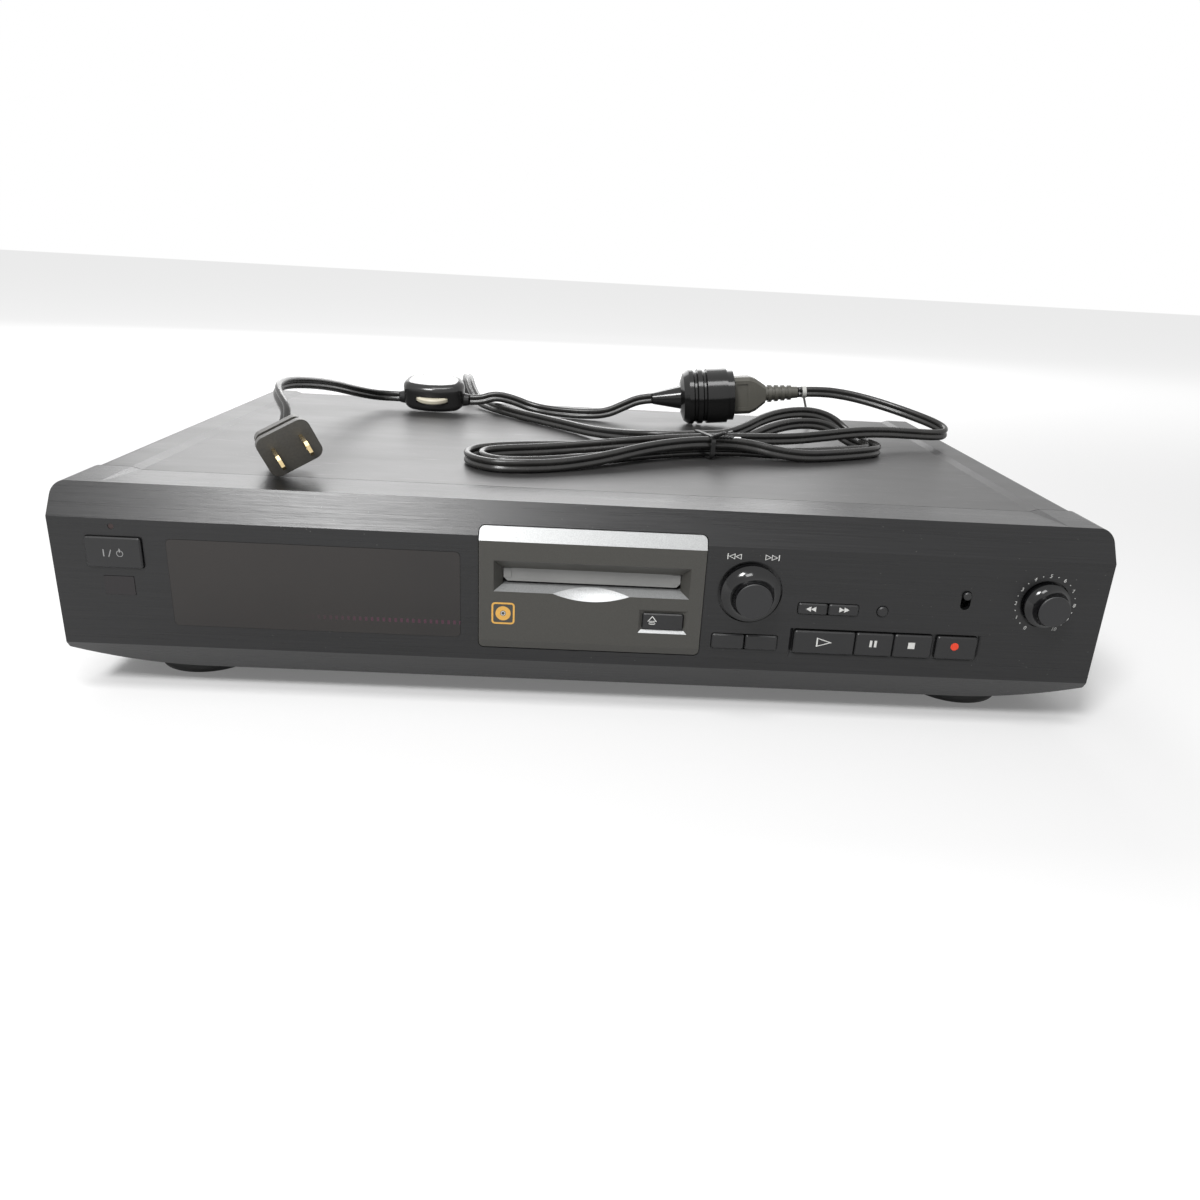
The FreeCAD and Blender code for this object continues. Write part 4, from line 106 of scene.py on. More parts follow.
class Term:
    """A shader output that takes part in sums, products and comparisons."""

    def __init__(self, look, socket):
        self.look = look
        self.socket = socket

    def maths(self, operation, first, second):
        return self.look.node("ShaderNodeMath", {"operation": operation}, {0: first, 1: second})

    def __add__(self, other):
        return self.maths("ADD", self, other)

    def __sub__(self, other):
        return self.maths("SUBTRACT", self, other)

    def __rsub__(self, other):
        return self.maths("SUBTRACT", other, self)

    def __mul__(self, other):
        return self.maths("MULTIPLY", self, other)

    def __gt__(self, other):
        return self.maths("GREATER_THAN", self, other)

    def __lt__(self, other):
        return self.maths("LESS_THAN", self, other)

    __radd__ = __add__
    __rmul__ = __mul__


class Look:
    """A material with one principled surface, built by expressions."""

    def __init__(self, name, **fixed):
        self.material = bpy.data.materials.new(name)
        self.material.use_nodes = True
        self.tree = self.material.node_tree
        self.surface = self.tree.nodes["Principled BSDF"]
        self.set(**fixed)

    def node(self, kind, settings, sockets, output=0):
        """Adds a node, with its settings first, and gives back one of its outputs."""
        made = self.tree.nodes.new(kind)
        for key, value in settings.items():
            setattr(made, key, value)
        for key, value in sockets.items():
            self.feed(made.inputs[key], value)
        return Term(self, made.outputs[output])

    def feed(self, socket, value):
        if isinstance(value, Term):
            self.tree.links.new(value.socket, socket)
        else:
            socket.default_value = value

    def set(self, **sockets):
        """Sets or links inputs of the surface, such as base_color or roughness."""
        names = {"base_color": "Base Color", "ior": "IOR", "coat_weight": "Coat Weight"}
        names.update({"coat_roughness": "Coat Roughness", "specular": "Specular IOR Level"})
        names.update({"emission": "Emission Color", "emission_strength": "Emission Strength"})
        for key, value in sockets.items():
            name = names.get(key, key.capitalize())
            if key == "base_color" and not isinstance(value, Term):
                value = (*value, 1.0)
            self.feed(self.surface.inputs[name], value)

    def place(self, scale=(1, 1, 1), turn=(0, 0, 0), centre=(0, 0, 0)):
        """The piece's own coordinates, moved, turned and scaled."""
        here = self.node("ShaderNodeTexCoord", {}, {}, "Object")
        settings = {"vector_type": "POINT"}
        sockets = {"Vector": here, "Location": centre, "Rotation": turn, "Scale": scale}
        return self.node("ShaderNodeMapping", settings, sockets)

    def axis(self, vector, name):
        return self.node("ShaderNodeSeparateXYZ", {}, {0: vector}, name)

    def noise(self, vector, scale, detail=2.0, roughness=0.5):
        sockets = {"Vector": vector, "Scale": scale, "Detail": detail, "Roughness": roughness}
        return self.node("ShaderNodeTexNoise", {}, sockets, "Fac")

    def cells(self, vector, scale):
        sockets = {"Vector": vector, "Scale": scale}
        return self.node("ShaderNodeTexVoronoi", {}, sockets, "Distance")

    def between(self, value, low, high):
        """Rises smoothly from 0 at low to 1 at high."""
        settings = {"interpolation_type": "SMOOTHSTEP", "clamp": True}
        sockets = {"Value": value, "From Min": low, "From Max": high}
        return self.node("ShaderNodeMapRange", settings, sockets)

    def mix(self, factor, first, second):
        settings = {"data_type": "RGBA"}
        colours = [c if isinstance(c, Term) else (*c, 1.0) for c in (first, second)]
        return self.node("ShaderNodeMix", settings, {0: factor, 6: colours[0], 7: colours[1]}, 2)

    def bump(self, height, strength, depth):
        sockets = {"Height": height, "Strength": strength, "Distance": depth}
        self.set(normal=self.node("ShaderNodeBump", {}, sockets))

    def specks(self, size, share):
        """Small dust specks, scattered unevenly."""
        here = self.place()
        near = self.cells(here, 1 / size) < share
        patchy = self.between(self.noise(here, 14.0), 0.42, 0.62)
        return near * patchy


def brushed_panel():
    """Black moulding with fine horizontal brushing and a little dust."""
    look = Look("brushed_panel", specular=0.42)
    fine = look.noise(look.place(scale=(22, 1700, 1700)), 1.0, 3.0, 0.75)
    broad = look.noise(look.place(scale=(6, 90, 90)), 1.0)
    dust = look.specks(0.0035, 0.05)
    black = look.mix(fine, (0.002, 0.002, 0.0022), (0.016, 0.016, 0.017))
    look.set(base_color=look.mix(dust * 0.5, black, (0.2, 0.2, 0.19)))
    look.set(roughness=0.16 + fine * 0.2 + broad * 0.08)
    look.bump(fine, 0.3, 0.00016)
    return look.material


def cover_paint():
    """Dark grey painted steel, scuffed and dusty."""
    look = Look("cover_paint", specular=0.5)
    here = look.place()
    grain = look.noise(here, 1900.0, 1.0)
    smear = look.noise(look.place(scale=(1, 3, 1)), 11.0, 4.0, 0.6)
    streaks = look.noise(look.place(scale=(60, 420, 60), turn=(0, 0, 0.6)), 1.0)
    scuff = look.between(streaks, 0.66, 0.74)
    dust = look.specks(0.0026, 0.09)
    grey = look.mix(smear, (0.026, 0.026, 0.027), (0.05, 0.049, 0.048))
    worn = look.mix(scuff * 0.35, grey, (0.16, 0.155, 0.15))
    look.set(base_color=look.mix(dust * 0.7, worn, (0.34, 0.33, 0.31)))
    look.set(roughness=0.3 + smear * 0.2 + dust * 0.3)
    look.bump(grain, 0.1, 0.0001)
    return look.material


def smoked_window():
    """Smoked brown acrylic over a dark display, with faint unlit segments low in it."""
    look = Look("smoked_window", roughness=0.045, specular=0.5)
    here = look.place()
    high = look.axis(here, "Z")
    haze = look.noise(here, 24.0, 3.0)
    brown = look.mix(haze, (0.006, 0.0045, 0.004), (0.016, 0.012, 0.010))
    row = (high > 0.0385) * (high < 0.0402)
    along = look.axis(here, "X")
    dots = look.node("ShaderNodeMath", {"operation": "SINE"}, {0: along * 2600.0}) > 0.2
    right = look.between(along, -0.125, -0.08)
    look.set(base_color=look.mix(row * dots * right * 0.5, brown, (0.09, 0.012, 0.045)))
    return look.material


def flecked_escutcheon():
    """Dark flecked moulding. Faces that look up get a lighter, partly metallic colour: a painted
    highlight for light falling from above.
    """
    look = Look("flecked_escutcheon", specular=0.45)
    here = look.place()
    fleck = look.noise(here, 3000.0, 1.0, 0.8)
    upward = look.axis(look.node("ShaderNodeNewGeometry", {}, {}, "Normal"), "Z")
    # Painted highlight: the more a face looks up, the lighter and more metallic its colour,
    # standing in for light from above
    painted_top_light = look.between(upward, 0.12, 0.75)
    dark = look.mix(fleck, (0.034, 0.033, 0.029), (0.06, 0.058, 0.051))
    light = look.mix(fleck, (0.26, 0.265, 0.27), (0.66, 0.67, 0.67))
    look.set(base_color=look.mix(painted_top_light, dark, light))
    look.set(metallic=painted_top_light * 0.6)
    look.set(roughness=0.34 + fleck * 0.16)
    look.bump(fleck, 0.12, 0.00005)
    return look.material


def satin_plastic(name, colour, roughness, grain=0.1):
    look = Look(name, specular=0.45)
    here = look.place()
    fine = look.noise(here, 2600.0, 1.0)
    broad = look.noise(here, 70.0, 3.0)
    lighter = tuple(min(1.0, c * 1.35 + 0.002) for c in colour)
    look.set(base_color=look.mix(broad, colour, lighter))
    look.set(roughness=roughness + broad * 0.08)
    look.bump(fine, grain, 0.00006)
    return look.material


def two_finish_knob(name, cap_y):
    """Glossy flanks and a matte cap, parted by depth."""
    look = Look(name, specular=0.5)
    here = look.place()
    deep = look.axis(here, "Y")
    cap = deep < cap_y
    fine = look.noise(here, 2600.0, 1.0)
    look.set(base_color=look.mix(cap, (0.004, 0.004, 0.0045), (0.011, 0.011, 0.012)))
    look.set(roughness=0.13 + cap * 0.33)
    look.bump(fine * cap, 0.15, 0.00005)
    return look.material


def plated_steel():
    look = Look("plated_steel", metallic=1.0)
    fine = look.noise(look.place(scale=(30, 900, 900)), 1.0, 3.0)
    look.set(base_color=look.mix(fine, (0.5, 0.5, 0.5), (0.68, 0.68, 0.69)))
    look.set(roughness=0.28 + fine * 0.15)
    return look.material


def polished_metal(name, colour, roughness=0.18):
    look = Look(name, metallic=1.0)
    wear = look.noise(look.place(), 300.0, 3.0)
    darker = tuple(c * 0.7 for c in colour)
    look.set(base_color=look.mix(wear, darker, colour))
    look.set(roughness=roughness + wear * 0.15)
    return look.material


def bladed_plug():
    """Warm dark moulding with brass blades in front of its face."""
    look = Look("bladed_plug", specular=0.45)
    here = look.place()
    ahead = end_plug_exit(-1) - end_plug_exit(0)
    face = at(*END_PLUG_PIVOT)
    settings = {"operation": "DOT_PRODUCT"}
    forward = look.node("ShaderNodeVectorMath", settings, {0: here, 1: tuple(ahead)}, "Value")
    blade = forward > ahead.dot(face) + 0.0002
    grain = look.noise(here, 1200.0, 2.0)
    body = look.mix(grain, (0.04, 0.038, 0.034), (0.07, 0.067, 0.06))
    brass = look.mix(look.noise(here, 260.0, 3.0), (0.6, 0.45, 0.22), (0.85, 0.7, 0.42))
    look.set(base_color=look.mix(blade, body, brass), metallic=blade)
    look.set(roughness=0.36 - blade * 0.14 + grain * 0.08)
    look.bump(grain * (1 - blade), 0.12, 0.0001)
    return look.material


def phono_socket_finish():
    """Black block, white and red collars, and nickel sleeves, parted by place."""
    look = Look("phono_socket_finish", specular=0.45)
    here = look.place()
    deep, along = look.axis(here, "Y"), look.axis(here, "X")
    outside = deep > at(0, COLLAR_ROOT, 0).y
    sleeve = deep > at(0, COLLAR_FACE, 0).y
    wear = look.noise(here, 500.0, 3.0)
    low = look.axis(here, "Z") < at(0, 0, JACK_MIDDLE).z
    collar = look.mix(low, (0.7, 0.69, 0.66), (0.55, 0.03, 0.03))
    body = look.mix(outside, (0.012, 0.012, 0.012), collar)
    nickel = look.mix(wear, (0.6, 0.59, 0.56), (0.78, 0.77, 0.74))
    look.set(base_color=look.mix(sleeve, body, nickel), metallic=sleeve)
    look.set(roughness=0.34 - sleeve * 0.1 + wear * 0.1)
    return look.material


def painted_chassis():
    """Plated steel tray, near-black and not metallic below its middle and in front of
    CHASSIS_FRONT.
    """
    look = Look("painted_chassis", specular=0.4)
    here = look.place()
    under = look.axis(here, "Z") < at(0, 0, CHASSIS_MIDDLE).z
    front = look.axis(here, "Y") < at(0, CHASSIS_FRONT, 0).y
    near_black_part = look.node("ShaderNodeMath", {"operation": "MAXIMUM"}, {0: under, 1: front})
    fine = look.noise(look.place(scale=(30, 900, 900)), 1.0, 3.0)
    steel = look.mix(fine, (0.42, 0.42, 0.42), (0.6, 0.6, 0.61))
    look.set(base_color=look.mix(near_black_part, steel, (0.01, 0.01, 0.01)))
    look.set(metallic=1 - near_black_part, roughness=0.3 + fine * 0.15)
    return look.material


def tie_finish():
    """Black twist tie on the hank and a whitish one behind the flat plug."""
    look = Look("tie_finish", specular=0.5)
    here = look.place()
    pale = look.axis(here, "X") > TIE_PARTING * MM
    grain = look.noise(here, 900.0, 2.0)
    look.set(base_color=look.mix(pale, (0.02, 0.02, 0.02), (0.6, 0.6, 0.57)))
    look.set(roughness=0.22 + grain * 0.15)
    look.bump(grain, 0.2, 0.0001)
    return look.material


def circuit_board():
    look = Look("circuit_board", specular=0.4)
    weave = look.noise(look.place(), 700.0, 2.0)
    look.set(base_color=look.mix(weave, (0.02, 0.09, 0.04), (0.05, 0.17, 0.09)))
    look.set(roughness=0.4 + weave * 0.1)
    return look.material


def cord_vinyl():
    """Glossy black flex, with a few dull smears along it."""
    look = Look("cord_vinyl", specular=0.5)
    here = look.place()
    smear = look.noise(here, 130.0, 3.0)
    look.set(base_color=look.mix(smear, (0.012, 0.012, 0.012), (0.034, 0.033, 0.031)))
    look.set(roughness=0.16 + smear * 0.2)
    look.bump(look.noise(here, 900.0, 2.0), 0.06, 0.0001)
    return look.material


def plain_print(name, colour):
    look = Look(name, specular=0.3)
    ink = look.noise(look.place(), 1500.0, 2.0)
    dim = tuple(c * 0.82 for c in colour)
    look.set(base_color=look.mix(ink, dim, colour))
    look.set(roughness=0.5 + ink * 0.1)
    return look.material


def seen_directly(tree):
    """1 for the rays that show the surround itself: to the camera, in gloss and through glass."""
    path = tree.nodes.new("ShaderNodeLightPath")
    last = path.outputs["Is Camera Ray"]
    for name in ("Is Glossy Ray", "Is Transmission Ray"):
        either = tree.nodes.new("ShaderNodeMath")
        either.operation = "MAXIMUM"
        tree.links.new(last, either.inputs[0])
        tree.links.new(path.outputs[name], either.inputs[1])
        last = either.outputs[0]
    return last


WORLD_STRENGTH = 0.22
FLOOR_SIZE = 12.0
FLOOR_GREY = 0.8
FLOOR_GLOW = 0.65
NEAR_SHARE = 0.25
GLOW_REACH = (0.3, 1.8)


def white_surround():
    """A plain world that shows white to the camera and to gloss, and lights the rest softly."""
    world = bpy.data.worlds.new("white_surround")
    world.use_nodes = True
    bpy.context.scene.world = world
    tree = world.node_tree
    lamp = tree.nodes.new("ShaderNodeMapRange")
    lamp.inputs["To Min"].default_value = WORLD_STRENGTH
    tree.links.new(seen_directly(tree), lamp.inputs["Value"])
    back = tree.nodes["Background"]
    back.inputs["Color"].default_value = (1, 1, 1, 1)
    tree.links.new(lamp.outputs[0], back.inputs["Strength"])


def floor():
    """A pale floor that reads as white to the camera, with the object's shadow on it."""
    bpy.ops.mesh.primitive_plane_add(size=FLOOR_SIZE, location=(0, 0, 0))
    ground = bpy.context.object
    ground.name = "floor"
    look = Look("pale_floor", specular=0.0)
    settings = {"operation": "LENGTH"}
    away = look.node("ShaderNodeVectorMath", settings, {0: look.place()}, "Value")
    far = look.between(away, *GLOW_REACH)
    look.set(base_color=(FLOOR_GREY,) * 3, roughness=0.9)
    look.set(emission=look.mix(far, (NEAR_SHARE,) * 3, (1, 1, 1)))
    look.set(emission_strength=Term(look, seen_directly(look.tree)) * FLOOR_GLOW)
    ground.data.materials.append(look.material)


# Cords

CORD_WIDTH = 6.3
CORD_THICK = 3.2
CORE_SWEEP = 0.84
CORD_REST = 0.15
SPLINE_STEPS = 12
LEAST_STEP = 0.0004
HANK_CENTRE = (57.0, 122.0)
HANK_ANGLE = math.radians(22)
HANK_TURNS = 2
HANK_STATIONS = 8
HANK_RIGHT = 107.0
HANK_LEFT = 130.0
HANK_LEFT_HALF = 26.0
HANK_BACK = (80.0, 28.0)
HANK_FRONT = (55.0, 26.0)
HANK_LIFTS = (14.6, 9.5)
HANK_PITCH = 6.8
WAIST_HALF = 8.6
WAIST_PITCH = 3.8
WAIST_RISE = 4.8
WAIST_LIFT = 1.3
CORD_Z = 91.4
LEAD_IN = 14


def hank_place(along, across, height):
    c, s = math.cos(HANK_ANGLE), math.sin(HANK_ANGLE)
    x = HANK_CENTRE[0] + along * c - across * s
    y = HANK_CENTRE[1] + along * s + across * c
    return Vector((x, y, height))


def hank_station(number):
    """One of the stations in each turn of the hank, with its direction of travel."""
    turn = number / HANK_STATIONS
    shrink = HANK_PITCH * turn
    place = number % HANK_STATIONS
    half = HANK_LEFT_HALF - shrink
    end = HANK_LEFT_HALF - HANK_LEFT
    spots = {
        1: (HANK_BACK[0], HANK_BACK[1] - shrink, CORD_Z + HANK_LIFTS[int(turn) % 2]),
        2: (HANK_RIGHT - shrink, 0, CORD_Z),
        3: (HANK_FRONT[0], shrink - HANK_FRONT[1], CORD_Z),
        5: (end, -half, CORD_Z),
        6: (shrink - HANK_LEFT, 0, CORD_Z),
        7: (end, half, CORD_Z),
    }
    if place in (0, 4):
        side = 1 if place == 0 else -1
        high = CORD_Z + WAIST_LIFT + (WAIST_RISE if int(turn) % 2 == 0 else 0.0)
        spots[place] = (0, side * (WAIST_HALF - WAIST_PITCH * turn), high)
    across = {2: -1, 6: 1}.get(place, 0)
    along = 0 if across else (1 if place in (0, 1, 7) else -1)
    return hank_place(*spots[place]), hank_place(along, across, 0) - hank_place(0, 0, 0)


def hank_corners():
    """The corners where the hank's arcs would meet if they were straight runs."""
    corners = [hank_station(0)[0]]
    for number in range(HANK_STATIONS * HANK_TURNS):
        start, way = hank_station(number)
        end, onward = hank_station(number + 1)
        chord = end - start
        along = chord.dot(way + onward)
        spread = 2 * (1 - way.dot(onward))
        if spread < 1e-9:
            reach = chord.dot(chord) / (4 * chord.dot(onward))
        else:
            reach = (math.sqrt(along ** 2 + spread * chord.dot(chord)) - along) / spread
        corners += [start + way * reach, end - onward * reach]
    return corners + [hank_station(HANK_STATIONS * HANK_TURNS)[0]]


def resting(points):
    """Points in metres, none lower than a cord that stands on edge on the cover."""
    low = COVER_TOP + CORD_WIDTH / 2 + CORD_REST
    spots = [Vector(p) for p in points]
    return [at(p.x, p.y, max(p.z, low) if 0 < p.y < COVER_DEPTH else p.z) for p in spots]


def smooth_line(points):
    """Points along the NURBS spline that has the given points as its control points."""
    data = bpy.data.curves.new("route", "CURVE")
    data.dimensions = "3D"
    spline = data.splines.new("NURBS")
    spline.points.add(len(points) - 1)
    for knot, point in zip(spline.points, points):
        knot.co = (*point, 1.0)
    spline.order_u = 3
    spline.use_endpoint_u = True
    spline.resolution_u = SPLINE_STEPS
    holder = bpy.data.objects.new("route", data)
    bpy.context.scene.collection.objects.link(holder)
    bpy.context.view_layer.update()
    shaped = holder.evaluated_get(bpy.context.evaluated_depsgraph_get())
    line = bpy.data.meshes.new_from_object(shaped)
    spots = [v.co.copy() for v in line.vertices]
    bpy.data.objects.remove(holder)
    bpy.data.meshes.remove(line)
    kept = [spots[0]]
    for spot in spots[1:]:
        if (spot - kept[-1]).length > LEAST_STEP:
            kept.append(spot)
    return kept


def twin_section():
    """The outline of the flat twin flex: two round cores with a web between them."""
    outline = []
    sides = 13
    radius = CORD_THICK / 2
    shift = (CORD_WIDTH - CORD_THICK) / 2
    for core in (1, -1):
        for step in range(sides):
            angle = math.pi * CORE_SWEEP * (2 * step / (sides - 1) - 1)
            across = core * (shift + radius * math.cos(angle))
            outline.append((across, core * radius * math.sin(angle)))
    return [(a * MM, b * MM) for a, b in outline]


def flex(name, line, wide_at):
    """A flat twin cord along a line. wide_at gives its wide direction at a share of its length."""
    section = twin_section()
    count = len(section)
    verts = []
    travelled = [0.0]
    for before, after in zip(line, line[1:]):
        travelled.append(travelled[-1] + (after - before).length)
    for number, spot in enumerate(line):
        ahead = line[min(number + 1, len(line) - 1)] - line[max(number - 1, 0)]
        way = ahead.normalized()
        wide = wide_at(travelled[number] / travelled[-1])
        wide = (wide - way * wide.dot(way)).normalized()
        thin = way.cross(wide)
        verts += [spot + wide * a + thin * b for a, b in section]
    faces = []
    for ring in range(len(line) - 1):
        for side in range(count):
            a = ring * count + side
            b = ring * count + (side + 1) % count
            faces.append((a, b, b + count, a + count))
    faces.append(tuple(reversed(range(count))))
    faces.append(tuple(range((len(line) - 1) * count, len(line) * count)))
    mesh = bpy.data.meshes.new(name)
    mesh.from_pydata(verts, [], faces)
    mesh.update()
    piece = bpy.data.objects.new(name, mesh)
    bpy.context.scene.collection.objects.link(piece)
    turn_outwards(piece)
    mesh.polygons.foreach_set("use_smooth", [True] * len(mesh.polygons))
    mesh.materials.append(CORD_LOOK)
    return piece


def turn_outwards(piece):
    bpy.ops.object.select_all(action="DESELECT")
    bpy.context.view_layer.objects.active = piece
    piece.select_set(True)
    bpy.ops.object.mode_set(mode="EDIT")
    bpy.ops.mesh.select_all(action="SELECT")
    bpy.ops.mesh.normals_make_consistent(inside=False)
    bpy.ops.object.mode_set(mode="OBJECT")


def turning_wide(stops):
    """The wide direction, turned smoothly between (share, direction) stops."""
    def wide_at(share):
        for (start, first), (end, second) in zip(stops, stops[1:]):
            if share <= end:
                t = min(1.0, max(0.0, (share - start) / (end - start)))
                t = t * t * (3 - 2 * t)
                return Vector(first).lerp(Vector(second), t).normalized()
        return Vector(stops[-1][1]).normalized()
    return wide_at


SOCKET_PLACE = (52.0, 220.0, 104.868)
SOCKET_TILT = math.radians(5.3)
SWITCH_EXITS = ((-120.0, 224.906, 96.053), (-78.0, 224.906, 96.053))
END_PLUG_PIVOT = (-129.4, 36.7, 101.0)
END_PLUG_REACH = 22.5
END_PLUG_ROLL = math.radians(-26)
END_PLUG_YAW = math.radians(24.7)


def on_socket_axis(distance):
    x, y, z = SOCKET_PLACE
    return Vector((x + distance * math.cos(SOCKET_TILT), y, z + distance * math.sin(SOCKET_TILT)))


def end_plug_exit(ahead):
    """A point on the two-blade plug's collar, or ahead of it along the lead."""
    roll = Matrix.Rotation(END_PLUG_ROLL, 3, "Y")
    yaw = Matrix.Rotation(END_PLUG_YAW, 3, "Z")
    return Vector(END_PLUG_PIVOT) + yaw @ roll @ Vector((0, END_PLUG_REACH + ahead, 0))


def captive_route():
    """From the rear bushing over the cover, twice round the hank, and on to the flat plug."""
    start, end = hank_station(0), hank_station(HANK_STATIONS * HANK_TURNS)
    rise = [
        (-95, 285.9, 32), (-95, 298.9, 32), (-94.5, 310.9, 38.5), (-94, 317.9, 51.5),
        (-93, 319.4, 66.5), (-92, 314.9, 81.5), (-90, 304.9, 94.5), (-87.5, 289.9, 102.5),
        (-84.5, 274, 103), (-80.5, 259.5, 97.5), (-75, 247, 92.6), (-68, 234, CORD_Z),
        (-58, 219.5, CORD_Z), (-46, 205, CORD_Z), (-32, 191, CORD_Z), (-17, 176, CORD_Z + 0.3),
        (-4, 160.5, CORD_Z + 1), (6, 147, CORD_Z + 2.4), (15, 135.5, CORD_Z + 4),
        (26, 127, CORD_Z + 5.4), start[0] - start[1] * LEAD_IN,
    ]
    back = [
        end[0] + end[1] * LEAD_IN, hank_place(33, 0.6, CORD_Z + 5.4),
        hank_place(53, -0.6, CORD_Z + 5.2),
        hank_place(74, -1.0, CORD_Z + 6.4), hank_place(95, -0.4, CORD_Z + 7.8),
        hank_place(115, 0.6, CORD_Z + 7.4), hank_place(132, 0.8, CORD_Z + 6.2), (195, 174.2, 97.0),
        (202.6, 176.4, 97.4), (205, 182, 98.7), (202, 189.5, 100.7), (194.5, 197.5, 103.0),
        (183.5, 206, 105.8), (170, 213, 108.9), (154.5, 218, 111.6),
        on_socket_axis(86), on_socket_axis(72),
    ]
    return rise + hank_corners() + back


def socket_route():
    """From the inline switch to the round socket's neck."""
    x, y, z = SWITCH_EXITS[1]
    return [
        (x, y, z), (x + 7, y, z), (-62.2, 225.3, 99.4), (-51, 225.8, 97.4), (-39, 225, 93.2),
        (-24, 220.5, CORD_Z), (-7, 216.8, CORD_Z), (7, 217, 93.2), (18, 218.6, 98.4),
        on_socket_axis(-25), on_socket_axis(-17),
    ]


def plug_route():
    """From the two-blade plug over the window's end of the cover to the inline switch."""
    x, y, z = SWITCH_EXITS[0]
    return [
        end_plug_exit(0), end_plug_exit(4.5), (-141.8, 66.5, 103.2), (-141.8, 71.0, 107.0),
        (-143.0, 77.0, 110.6), (-147.5, 84.5, 113.4), (-152.3, 94, 115.8), (-154.8, 106, 116.8),
        (-154.0, 120, 116.4), (-151.0, 138, 114.2), (-148.8, 158, 111.0), (-146.5, 178, 107.2),
        (-143.2, 196, 102.9), (-138.8, 209, 99.6), (-133.5, 219.3, 97.1), (x - 7, y, z), (x, y, z),
    ]


def length_of(line):
    return sum((b - a).length for a, b in zip(line, line[1:]))


def cords():
    """The three leads, each with the way its flat side turns along it."""
    across, upright = (1, 0, 0), (0, 0, 1)
    line = smooth_line(resting(captive_route()))
    captive = flex("captive_cord", line, turning_wide(
        [(0, across), (0.075, across), (0.13, upright), (1, upright)]
    ))
    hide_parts("deck_cord", "cord_hank", "plug_cord")
    length_of(line)
    line = smooth_line(resting(socket_route()))
    short = flex("socket_cord", line, turning_wide([(0, upright), (1, upright)]))
    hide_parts("lead_cord")
    length_of(line)
    line = smooth_line(resting(plug_route()))
    last = flex("plug_lead", line, turning_wide(
        [(0, (1, 0, 0.5)), (0.15, (0.4, 0, 1)), (1, upright)]
    ))
    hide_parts("end_cord")
    length_of(line)
    for piece in (captive, short, last):
        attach(piece, "deck")


# The twist tie's wrung ends

WRUNG_RADIUS = 0.5
WRUNG_OFFSET = 0.62
WRUNG_PITCH = 3.4
WRUNG_STEPS = 8
TIP_LENGTH = 4.2
TIP_WIDTH = 2.6
TIP_THICK = 0.35
TIP_OVERLAP = 0.6
TIP_ROUNDING = 0.12
KNOT = hank_place(0, -8.35, 100.6)
WRUNG_ENDS = (hank_place(3, -16.35, 104.15), hank_place(9, -14.35, 101.15))


def wire(points, radius):
    """A round wire through the points, as a mesh."""
    data = bpy.data.curves.new("wire", "CURVE")
    data.dimensions = "3D"
    spline = data.splines.new("POLY")
    spline.points.add(len(points) - 1)
    for knot, point in zip(spline.points, points):
        knot.co = (*at(*point), 1.0)
    data.bevel_depth = radius * MM
    data.bevel_resolution = 2
    data.use_fill_caps = True
    piece = bpy.data.objects.new("wire", data)
    bpy.context.scene.collection.objects.link(piece)
    bpy.ops.object.select_all(action="DESELECT")
    bpy.context.view_layer.objects.active = piece
    piece.select_set(True)
    bpy.ops.object.convert(target="MESH")
    piece.data.materials.clear()
    piece.data.materials.append(TIE_LOOK)
    return piece


def wrung_pair(start, end):
    """Two wires wrung round each other from start to end."""
    way = (end - start).normalized()
    side = way.cross(Vector((0, 0, 1))).normalized()
    over = side.cross(way)
    count = int((end - start).length / WRUNG_PITCH * WRUNG_STEPS)
    pair = []
    for phase in (0.0, math.pi):
        line = []
        for step in range(count + 1):
            angle = phase + 2 * math.pi * step / WRUNG_STEPS
            swing = side * math.cos(angle) + over * math.sin(angle)
            line.append(start.lerp(end, step / count) + swing * WRUNG_OFFSET)
        pair.append(wire(line, WRUNG_RADIUS))
    return pair


def bare_tip(start, end):
    """The flat bright tip past a wrung end."""
    way = (end - start).normalized()
    bpy.ops.object.select_all(action="DESELECT")
    bpy.ops.mesh.primitive_cube_add(size=1.0)
    tip = bpy.context.object
    bpy.ops.object.mode_set(mode="EDIT")
    bpy.ops.mesh.bevel(offset=TIP_ROUNDING, segments=2)
    bpy.ops.object.mode_set(mode="OBJECT")
    size = Matrix.Diagonal((TIP_WIDTH * MM, TIP_THICK * MM, TIP_LENGTH * MM, 1))
    turn = way.to_track_quat("Z", "Y").to_matrix().to_4x4()
    middle = end + way * (TIP_LENGTH / 2 - TIP_OVERLAP)
    tip.data.transform(Matrix.Translation(at(*middle)) @ turn @ size)
    tip.data.materials.append(TIP_LOOK)
    return tip


def tie_ends():
    pieces = []
    for end in WRUNG_ENDS:
        pieces += wrung_pair(KNOT, end) + [bare_tip(KNOT, end)]
    joined("tie_ends", pieces, "deck")


# Prints

PRINT_LIFT = 0.03
KEY_FACE = -1.0
POWER_FACE = -1.5
LEVEL_FACE = -8.7
BEZEL_FACE = -1.2
DIAL_CENTRE = (189.3, 58.6)
DIAL_RADIUS = 12.4
DIAL_START = -150
DIAL_STEP = 30
DIAL_SLANT = 0.2
DIAL_DOT = 0.42
DIGIT_HEIGHT = 1.55
DIGIT_WIDTH = 1.05
ODD_WIDTHS = {1: 0.5, 10: 1.9}
RIGHT = -math.pi / 2
LEFT = math.pi / 2
LEVEL_SIDES = math.pi / 4


